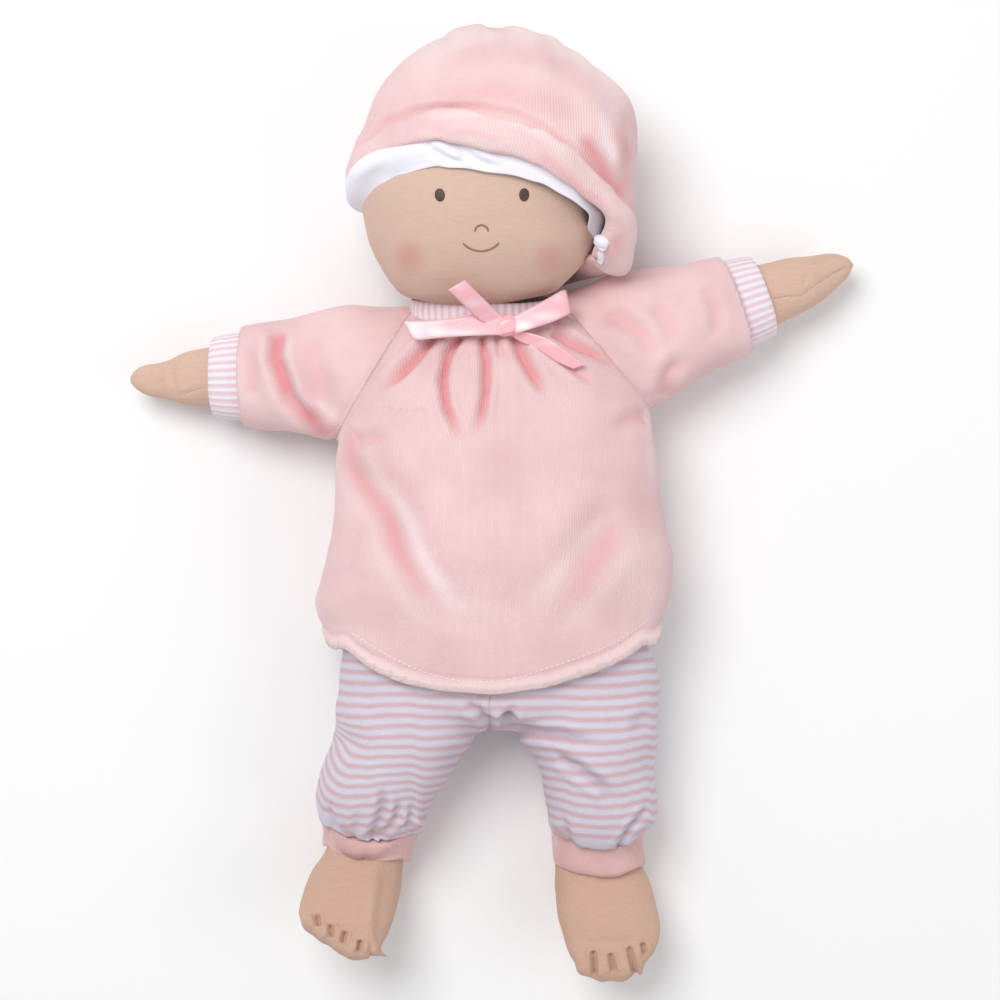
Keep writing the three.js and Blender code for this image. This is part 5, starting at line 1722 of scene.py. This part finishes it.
mark_cut(trousers, CENTRE_SEAM, (1, 0, 0))
for side, pose in LEGS.items():
    mirror = pose["mirror"]
    half = cut_away(trousers, side + "_trouser_half", CENTRE_SEAM, (mirror, 0, 0), True)
    for axis, table in TROUSER_SHAPES[side]:
        draw_to_outline(half, axis, table, fade=16, window=4, evenings=12)
    thicken(half, 0.9)
    cloth(half, 0.15, 0.11, 0.0112, "gathered")
    nodes = [side + "_trouser_leg"] + (["trouser_waist"] if side == "left" else [])
    rider(half, None, "striped_knit", *nodes)
    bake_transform(half)
bpy.data.objects.remove(trousers)
print("trousers cut at the centre seam")

# %% Ankle cuffs
ANKLE_PROFILE = [(0, 0.6), (0.01, 1.4), (0.05, 2.0), (0.14, 2.5), (0.43, 2.9), (0.77, 3.0), (0.9, 2.7),
                 (0.98, 2.1), (1, 1.2), (0.95, 0.4)]
ANKLE_CUFFS = {"left": (40.0, 61.0), "right": (37.0, 59.0)}
ANKLE_SIDES = {
    "left": [(838, 548, 644), (849, 546, 644), (856, 549, 643), (863, 555, 640), (869, 564, None)],
    "right": [(838, 322, 417), (846, 323, 415), (852, 327, 412), (857, None, 409)],
}
ANKLE_ENDS = {
    "left": [(556, None, 862), (575, None, 872), (601, None, 879), (617, None, 878.5), (633, None, 870.5)],
    "right": [(333, None, 853.5), (355, None, 860), (382, None, 862), (398, None, 860)],
}
for side, (start, end) in ANKLE_CUFFS.items():
    profile = [(start + (end - start) * share, grow) for share, grow in ANKLE_PROFILE]
    cuff = band(side + "_ankle_cuff", leg_forms[side], profile, 220, cuff_velour, slant=4.0)
    draw_to_outline(cuff, 0, ANKLE_SIDES[side], fade=5, window=3, evenings=6)
    draw_to_outline(cuff, 1, ANKLE_ENDS[side], fade=4, window=3, evenings=8)
    roughen(cuff, 20, 0.25, 13)
    rider(cuff, side + "_leg", "velour", side + "_leg_cuff")
print("ankle cuffs ready")

# %% [markdown]
# ## Feet
# The legs are bags that end in flat feet. Four short stitch lines at each toe edge pull the
# bag in, and five toes are left standing between them.

# %% Legs and feet
TOE_STITCHES = {
    "right": [[(316, 914), (318, 926)], [(331, 923), (331, 937)], [(346, 930), (342, 943)],
              [(361, 940), (358, 951)]],
    "left": [[(593, 950), (595, 975)], [(610, 953), (614, 971)], [(629, 946), (635, 975)],
             [(644, 943), (645, 955)]],
}
TOE_BUMPS = {
    "right": [(308, 922, 6, 8, 1.5), (324, 934, 6, 8, 1.5), (338, 943, 6, 8, 1.6), (352, 950, 6, 8, 1.6),
              (372, 950, 8, 8, 1.7)],
    "left": [(582, 968, 7, 9, 1.6), (602, 972, 6, 9, 1.7), (621, 971, 7, 9, 1.7), (638, 962, 6, 9, 1.0)],
}
FOOT_OUTLINES = {
    "right": [(1, [(303, None, 927), (310, None, 935), (317, None, 941), (324, None, 945), (332, None, 949),
                   (343, None, 956), (358, None, 960), (371, None, 957.5), (382, None, 950)]),
              (0, [(845, 327, 408), (858, 320, 403.5), (870, 311, 402.5), (885, 304.5, 401.5),
                   (900, 300, 399), (913, 298.5, 396), (926, 302, 391.5), (936, 310, 388),
                   (944, 321, 384), (950, 333, 378)])],
    "left": [(1, [(557, None, 910), (560, None, 930), (564, None, 944), (567, None, 952),
                  (571, None, 960), (577, None, 968), (584, None, 975), (594, None, 979),
                  (604, None, 980.5), (614, None, 981.5), (626, None, 981), (636, None, 975)]),
             (0, [(850, 553, 639), (865, 555, 643), (880, 554.7, 650), (900, 555.5, 656), (915, 557, 659),
                  (930, 560.5, 660.5), (943, 564.5, 658.5), (950, 565.5, 655.5), (957, 568.5, 651),
                  (965, 575, 645)])],
}
LEG_INSIDES = {
    "right": [(728, None, 474), (742, None, 464), (755, None, 450), (770, None, 438), (785, None, 432),
              (800, None, 427), (815, None, 420)],
    "left": [(728, 522, None), (742, 530, None), (755, 545, None), (770, 550, None), (785, 552, None),
             (800, 554, None), (815, 558, None)],
}
TOE_PULL = (2.8, -2.3, (0.1, 0.05))
TOE_SHADES = {"right": (342, 922, 34, 7, -0.9), "left": (612, 943, 38, 6, -1.0)}
for side in LEGS:
    shares = np.concatenate([np.linspace(0.02, 0.46, 12), eased_shares(0.5, 1 - TIP, 30)])
    leg = loft(side + "_leg_bag", form_rings(leg_forms[side], shares, 56, -0.3), foot_jersey_shaded)
    stuff(leg, 2.2, 0.5)
    subdivide(leg)
    draw_to_outline(leg, 0, LEG_INSIDES[side], fade=14)
    for axis, table in FOOT_OUTLINES[side]:
        draw_to_outline(leg, axis, table, fade=8, window=4, evenings=14)
    folds = [(stitch, *TOE_PULL) for stitch in TOE_STITCHES[side]]
    fold_cloth(leg, folds, TOE_BUMPS[side] + [TOE_SHADES[side]], weight=facing_up(leg, -0.2, 0.35))
    roughen(leg, 16, 0.2, 9)
    rider(leg, side + "_leg", "skin_jersey", side + "_leg")
    threads = []
    for number, stitch in enumerate(TOE_STITCHES[side]):
        seats = seat_on(leg, np.linspace(stitch[0], stitch[1], 7))
        threads.append(tube(side + "_toe_thread" + str(number), seats, 0.13, seam_thread, sides=6))
    rider(join_pieces(side + "_toe_stitches", threads), side + "_leg", "skin_jersey")
print("feet ready")

# %% [markdown]
# ## Hat
# The hat is a gathered crown of velour, a brim that is rolled up into a soft band, and a lining
# of white jersey that peeps out below it. It is wide on one side, so the cloth falls there in
# long soft folds. All three sit on one form, drawn a little larger than the head.

# %% Hat crown
HAT_OUTLINE = [
    (0, 1.06, 1.16, 1.02, -0.07), (0.3, 1.1, 1.24, 1.03, -0.07), (0.5, 1.08, 1.32, 1.03, -0.07),
    (0.7, 1.02, 1.28, 1.02, -0.03), (0.85, 0.96, 1.12, 0.98, 0.04), (1, 0.8, 0.9, 0.9, 0.16)]
HAT_SHAPE = [
    (34, 441, 552), (50, 418, 577), (65, 400, 597), (80, 384, 616), (95, 376, 629), (110, 369, 635),
    (125, 364, 637), (140, 356, 638), (155, 349, 637), (170, 345, 635), (185, 344, 635), (200, 346, 635),
    (215, 357, 638), (230, 367, 639), (245, 372, 638), (258, 378, None), (270, 386, None)]
HAT_TOP = [
    (440, 35, None), (460, 26, None), (478, 22.5, None), (495, 29, None), (512, 24, None),
    (526, 27, None), (533, 31.5, None), (542, 30, None), (560, 40, None), (576, 49, None),
    (600, 68, None)]
HAT_EDGE = (0.46, 0.22, 0.645, 0.13, -0.11, 0.03, 0.18)
hat_form = make_form([(-5.3, 153, 0), (-5.3, 244, 0)], HEAD_HALF_WIDTH, HEAD_DEPTH, HAT_OUTLINE,
                     rounds=(0, 0.34), square=2.2, back=6.5)
CROWN_TOP = (1.0, 1.0, 1.0, 1.0)
CROWN_EDGE = tuple(share - 0.05 for share in HAT_EDGE[:4]) + HAT_EDGE[4:]
CROWN_FOLDS = [
    ([(495, 16), (496, 36), (499, 54)], 8, -1.1, (0.01, 0.7)),
    ([(533, 20), (536, 40), (542, 60)], 8, -1.0, (0.01, 0.7)),
    ([(560, 30), (567, 52), (574, 74)], 8, -0.9, (0.01, 0.7)),
    ([(588, 46), (596, 68), (604, 90)], 8, -0.8, (0.01, 0.7)),
    ([(350, 152), (372, 123), (395, 113), (430, 107), (480, 109), (510, 117), (545, 134), (580, 158),
      (605, 183), (625, 208), (638, 233)], 4.5, -1.25, (0.02, 0.02)),
    ([(578, 130), (600, 166), (622, 200)], 13, -0.8, (0.25, 0.1)),
    ([(622, 104), (628, 140), (632, 178)], 8, -1.6, (0.3, 0.3)),
    ([(572, 80), (592, 108), (608, 142)], 12, 1.0, (0.3, 0.4)),
    ([(396, 76), (388, 98), (384, 116)], 14, -0.7, (0.3, 0.3)),
]
CROWN_SPOTS = [(500, 70, 70, 30, 0.8), (560, 110, 30, 24, -0.8)]


def crown_shell():
    """The crown's inner face, its edge and its outer face, in one run of rings."""
    count = 168
    inner = edged_rings(hat_form, CROWN_EDGE, CROWN_TOP, np.linspace(1 - TIP, 0.0, 16), count, -0.2)
    edge = edged_rings(hat_form, CROWN_EDGE, CROWN_TOP, [-0.004], count, 0.8)
    steps = 1 - (1 - np.linspace(0, 1, 54)) ** 1.25 * (1 - TIP) - TIP
    outer = edged_rings(hat_form, CROWN_EDGE, CROWN_TOP, steps, count, 1.6)
    piece = loft("crown", np.vstack([inner, edge, outer]), hat_velour_lit, reference=44)
    outside = np.zeros(len(piece.data.vertices))
    outside[17 * count:-2] = 1.0
    outside[-1] = 1.0
    return piece, outside


# Painted shade and painted sheen on the hat: deeper lines on the crown's side and the brim's lower side,
# paler lines along the crown's rim and the brim's top.
CROWN_NAP_SHADING = [
    ([(574, 132), (588, 152), (605, 174), (624, 202)], 8, -2.4, (0.2, 0.2)),
    ([(604, 118), (616, 146), (630, 196)], 7, -1.5, (0.3, 0.2)),
    ([(592, 108), (606, 138), (622, 170)], 6, 1.3, (0.3, 0.3)),
    ([(400, 92), (440, 96), (490, 92), (545, 108), (574, 130)], 14, -0.7, (0.3, 0.2)),
    ([(382, 70), (430, 40), (480, 28), (540, 36), (600, 72), (632, 120)], 12, 0.9, (0.2, 0.2)),
]
BRIM_NAP_SHADING = [
    ([(400, 119), (440, 113), (485, 115), (520, 127), (555, 145), (590, 175)], 5, 0.9, (0.2, 0.3)),
    ([(530, 152), (556, 168), (584, 194), (606, 216)], 6, -1.2, (0.2, 0.2)),
    ([(420, 132), (460, 132), (510, 143)], 5, -0.7, (0.3, 0.3)),
    ([(604, 230), (618, 250), (606, 264)], 8, -1.0, (0.3, 0.3)),
]


def paint_nap_shading(piece, lines):
    """Adds painted shade along lines that are negative and paler painted sheen along lines that are
    positive, the look of pile in the light.
    """
    painted_nap = -fold_heights(to_sheet(coordinates(piece)), lines) * facing_up(piece, -0.2, 0.3)
    set_attribute(piece, "painted_shade_and_highlight", get_attribute(piece, "painted_shade_and_highlight") * 0.7 + painted_nap)


crown, crown_outside = crown_shell()
fold_cloth(crown, CROWN_FOLDS, CROWN_SPOTS,
           weight=crown_outside * smoothstep(normals(crown)[:, 2], -0.7, -0.1))
paint_nap_shading(crown, CROWN_NAP_SHADING)
points = coordinates(crown)
sway = waves(points, 44, 21) * 0.8 + waves(points, 14, 22) * 0.18
set_coordinates(crown, points + normals(crown) * (sway * crown_outside)[:, None])
print("crown:", len(crown.data.polygons), "faces")

# %% Hat brim
def roll_rings(form, edge, around, sides, width, thickness, outwards):
    """A soft roll along a slanting edge, rows round its section. Its sizes may change round the head."""
    angle = ring_angles(around)
    share = edge_at(edge, angle) - width / 2 / form["length"][-1]
    seat = surface(form, share, angle)
    step = 0.01
    along = surface(form, share + step, angle) - surface(form, share - step, angle)
    along /= np.linalg.norm(along, axis=1)[:, None]
    across = surface(form, share, angle + step) - surface(form, share, angle - step)
    out = np.cross(across, along)
    out /= np.linalg.norm(out, axis=1)[:, None]
    centre = seat + out * outwards[:, None]
    return np.array([centre + along * (signed_power(math.cos(t), 0.9) * width / 2)[:, None]
                     + out * (signed_power(math.sin(t), 0.8) * thickness / 2)[:, None]
                     for t in turns_of(sides)])


BRIM_AROUND = 240


def brim_sizes():
    """Width, thickness and offset of the roll round the head. It is fat where the hat is wide."""
    angle = ring_angles(BRIM_AROUND)
    thin = smoothstep(np.cos(angle), 0.25, 1.0)
    fat = smoothstep(-np.cos(angle), 0.64, 1.0)
    width = 11.8 - 2.4 * thin + 1.6 * fat + 0.3 * np.sin(3 * angle + 1)
    thickness = 5.8 - 1.2 * thin + 6.2 * fat + 0.3 * np.sin(5 * angle)
    outwards = (3.4 * (1 - thin) + 0.3 * thin) * (1 - fat) + (6.2 - thickness / 2) * fat
    return width, thickness, outwards


brim = hoop("brim", roll_rings(hat_form, HAT_EDGE, BRIM_AROUND, 28, *brim_sizes()), hat_velour_lit)
BRIM_FOLDS = [
    ([(398, 118), (420, 128), (446, 128)], 6, -0.5, (0.3, 0.4)),
    ([(560, 150), (584, 172), (604, 200)], 7, -0.6, (0.3, 0.3)),
    ([(604, 214), (618, 236), (618, 258)], 7, -0.8, (0.3, 0.3)),
]
fold_cloth(brim, BRIM_FOLDS)
paint_nap_shading(brim, BRIM_NAP_SHADING)
roughen(brim, 34, 0.5, 31)
roughen(brim, 11, 0.14, 32)
print("brim:", len(brim.data.polygons), "faces")

# %% Hat lining
LINING_EDGE = (0.25, 0.07, 0.43, 0.06, -0.07, 0.02, 0.1)
LINING_TOP = tuple(share + 0.01 for share in HAT_EDGE[:4]) + HAT_EDGE[4:]
LINING_FOLDS = [
    ([(418, 142), (434, 153), (450, 161), (462, 163)], 3.4, -1.3, (0.1, 0.1)),
    ([(424, 141), (444, 149), (462, 158)], 5, 1.0, (0.2, 0.2)),
    ([(458, 145), (465, 156), (480, 163), (492, 165)], 3.4, -1.3, (0.1, 0.1)),
    ([(466, 143), (482, 153), (500, 163)], 5, 1.0, (0.2, 0.2)),
    ([(540, 170), (556, 184), (574, 200)], 3, -0.7, (0.2, 0.3)),
    ([(352, 190), (368, 178), (392, 164)], 6, -0.7, (0.3, 0.4)),
    ([(352, 206), (372, 194), (396, 176)], 5, 0.6, (0.3, 0.3)),
]


def lining_shell():
    count, rows = 200, 24
    steps = np.linspace(0, 1, rows)[:, None]
    angle = ring_angles(count)[None, :]
    turned = smoothstep(np.cos(angle), 0.2, 0.95)
    tucked = smoothstep(-np.cos(angle), 0.5, 0.97)
    grow = -0.3 + 1.2 * hump(steps, -0.02, 0.7)
    grow = grow + turned * (3.4 * hump(steps, 0.05, 0.85) - 3.2 * smoothstep(steps, 0.4, 0.0))
    grow = grow - tucked * (5.4 + 3.6 * (1 - steps))
    outer = edged_rings(hat_form, LINING_EDGE, LINING_TOP, steps[:, 0], count, grow)
    lip = edged_rings(hat_form, LINING_EDGE, LINING_TOP, [-0.012], count, grow[:1] - 0.5)
    inner = edged_rings(hat_form, LINING_EDGE, LINING_TOP, steps[:, 0], count, grow - 1.0)
    return np.vstack([inner[::-1], lip, outer])


lining = hoop("lining", lining_shell(), white_jersey)
fold_cloth(lining, LINING_FOLDS)
roughen(lining, 26, 0.3, 41)
hat_pieces = [crown, brim, lining]
draw_to_outline(hat_pieces, 0, HAT_SHAPE, fade=4)
draw_to_outline(hat_pieces, 1, HAT_TOP, fade=6, evenings=4)
# The hat's low side beside the chin is lifted out of its own shadow
CHIN_SIDE_LIFT = (590, 268, 26, 15, 26.0)
for piece in hat_pieces:
    points = coordinates(piece)
    lift = smoothstep(points[:, 2], 50.0, 26.0) * dents(to_sheet(points), [CHIN_SIDE_LIFT])
    set_coordinates(piece, points + UP * lift[:, None])
for piece, slot, node in zip(hat_pieces, ("velour", "velour", "white_jersey"),
                             ("hat_crown", "hat_brim", "hat_lining")):
    subdivide(piece)
    rider(piece, "hat", slot, node)
print("hat drawn to its outline:", [len(piece.data.polygons) for piece in hat_pieces])
cloth(crown, 0.28, 0.1, 0.018, "stretched", "head_ball")
cloth(lining, 0.29, 0.03, 0.005, "folded", "head_ball")
LINING_END = [(588, 216), (597, 226), (604, 236), (604, 245), (598, 244)]
LINING_TAIL = [(600, 249), (601.5, 256), (599, 264)]
for name, places, radius in (("lining_end", LINING_END, 2.7), ("lining_tail", LINING_TAIL, 1.2)):
    seats = seat_on(brim, drawn_line(places, 30), radius * 0.4)
    seats = np.array([np.mean(seats[max(i - 5, 0):i + 6], axis=0) for i in range(len(seats))])
    rider(tube(name, seats, radius, white_jersey, sides=14, flat=0.55), "hat", "white_jersey")

# %% [markdown]
# ## Neckband
# The smock is gathered onto a flat band of striped rib knit. Its ribs stand across the band.

# %% Neckband
NECKBAND = {"half_width": 25.5, "half_depth": 18.5, "front_drop": 3.2, "lift": 2.4, "width": 7.6}


def neckband_rows(around=330, sides=14):
    angle = ring_angles(around)
    ribs = 0.09 * np.cos(angle * 60)
    rows = []
    for turn in turns_of(sides):
        out = signed_power(math.cos(turn), 0.6) * 1.0 + ribs * max(math.cos(turn), 0)
        along = signed_power(math.sin(turn), 0.8) * NECKBAND["width"] / 2
        y = TORSO_LENGTH + NECKBAND["lift"] - np.sin(angle) * NECKBAND["front_drop"] + along
        rows.append(np.stack([NECK_X + np.cos(angle) * (NECKBAND["half_width"] + out), y,
                              NECK_Z + np.sin(angle) * (NECKBAND["half_depth"] + out)], axis=1))
    return np.array(rows) + HIPS_PLACE


neckband = hoop("rib_neckband", neckband_rows(), rib_knit)
roughen(neckband, 18, 0.25, 51)
rider(neckband, "torso", "striped_knit", "neckband")
print("neckband:", len(neckband.data.polygons), "faces")

# %% [markdown]
# ## Bow
# One satin ribbon is tied into two flat loops, two tails and a knot. A ribbon is given by its
# two edges, because a ribbon bends freely along its length but hardly across it.

# %% Ribbon maker
RIBBON_THICKNESS = 0.4


def ribbon(name, rows, node, steps=44, across=7):
    """A flat strip between two edges. A row holds both edge points: (x, y, height) twice."""
    edges = [np.array([on_sheet(*row[side]) for row in rows]) for side in (0, 1)]
    shares = np.linspace(0, 1, steps)
    sides = [on_line(*rounded_line(edge), shares)[0] for edge in edges]
    run = np.gradient((sides[0] + sides[1]) / 2, axis=0)
    up = np.cross(run, sides[1] - sides[0])
    up /= np.linalg.norm(up, axis=1)[:, None]
    share = np.linspace(0, 1, across)
    top = [sides[0] * (1 - t) + sides[1] * t + up * RIBBON_THICKNESS / 2 for t in share]
    under = [sides[0] * (1 - t) + sides[1] * t - up * RIBBON_THICKNESS / 2 for t in share[::-1]]
    rings = np.array(top + under).transpose(1, 0, 2)
    return rider(loft(name, rings, satin), "torso", "satin_ribbon", node)


# %% Loops, tails and knot
def shine(piece, places):
    """Pale glints where the satin mirrors a lamp: (x, y, half width, half height, strength)."""
    set_attribute(piece, "painted_shade_and_highlight", -dents(to_sheet(coordinates(piece)), places))


wide_loop = ribbon("ribbon_loop_wide", [
    ((503, 315, 55.2), (504, 335, 55.2)), ((480, 314, 55.6), (482, 335.4, 55.4)),
    ((450, 318.4, 55.4), (449, 337, 55.2)), ((424, 321, 54.4), (428, 339, 54.4)),
    ((407, 321.4, 52.6), (417, 340, 52.6)), ((403, 321.4, 51.2), (414, 340, 51.2)),
    ((407, 322, 50.2), (417, 339.6, 50.2)), ((430, 321.6, 49.8), (432, 338.6, 49.8)),
    ((462, 319, 50.0), (464, 336, 50.0)), ((503, 317, 51.4), (504, 333, 51.4))], "bow_loop_right")
short_loop = ribbon("ribbon_loop_short", [
    ((512, 317, 54.8), (515, 334, 54.8)), ((530, 308, 55.6), (534, 328, 55.2)),
    ((550, 297, 55.2), (555, 321, 54.8)), ((563, 290, 53.4), (569, 314, 53.2)),
    ((566.4, 291, 52.0), (571, 313, 52.0)), ((562, 294, 50.8), (566, 314, 50.8)),
    ((544, 304, 50.4), (548, 322, 50.4)), ((512, 318, 51.2), (514, 333, 51.2))], "bow_loop_left")
high_tail = ribbon("ribbon_tail_high", [
    ((496, 330, 53.6), (510, 321, 53.6)), ((478, 319, 56.8), (498, 313, 56.4)),
    ((468, 309.6, 60.6), (487, 302, 60.0)), ((458, 299.6, 64.6), (475.6, 290.6, 63.8)),
    ((448, 290, 67.8), (465, 279.8, 67.0))], "bow_tail_upper")
low_tail = ribbon("ribbon_tail_low", [
    ((508, 325, 52.6), (510, 335, 51.0)), ((526, 332, 53.2), (521, 342, 50.8)),
    ((546, 338, 53.8), (538, 350, 51.2)), ((565, 350, 54.0), (555, 361, 51.8)),
    ((585, 365, 54.0), (573, 369, 52.2))], "bow_tail_lower")
shine(wide_loop, [(412, 331, 13, 14, 1.0), (436, 329, 9, 12, 0.35), (462, 333, 26, 4, 0.7),
                  (490, 317, 14, 3, 0.3)])
shine(short_loop, [(524, 326, 10, 5, 0.9), (545, 316, 16, 5, 0.6), (558, 298, 6, 5, 0.3)])
shine(high_tail, [(474, 303, 10, 4, 0.4), (458, 286, 8, 3, 0.35)])
shine(low_tail, [(548, 343, 12, 3, 0.3)])


def knot_rows():
    centre = on_sheet(506.6, 325.2, 53.0)
    rows = []
    for share in eased_shares(0.02, 0.98, 26):
        x = (share - 0.5) * 2
        close = math.sqrt(max(1 - abs(x) ** 3.2, 0.001))
        angle = ring_angles(40)
        crease = 1 - 0.05 * np.cos(angle * 7 + x * 2)
        rows.append(np.stack([centre[0] + np.full(40, x * 4.1),
                              centre[1] + signed_power(np.cos(angle), 0.75) * 3.8 * close * crease + x * 0.5,
                              centre[2] + signed_power(np.sin(angle), 0.75) * 3.0 * close * crease], axis=1))
    return np.array(rows)


rider(loft("ribbon_knot", knot_rows(), satin), "torso", "satin_ribbon", "bow_knot")
print("bow tied")
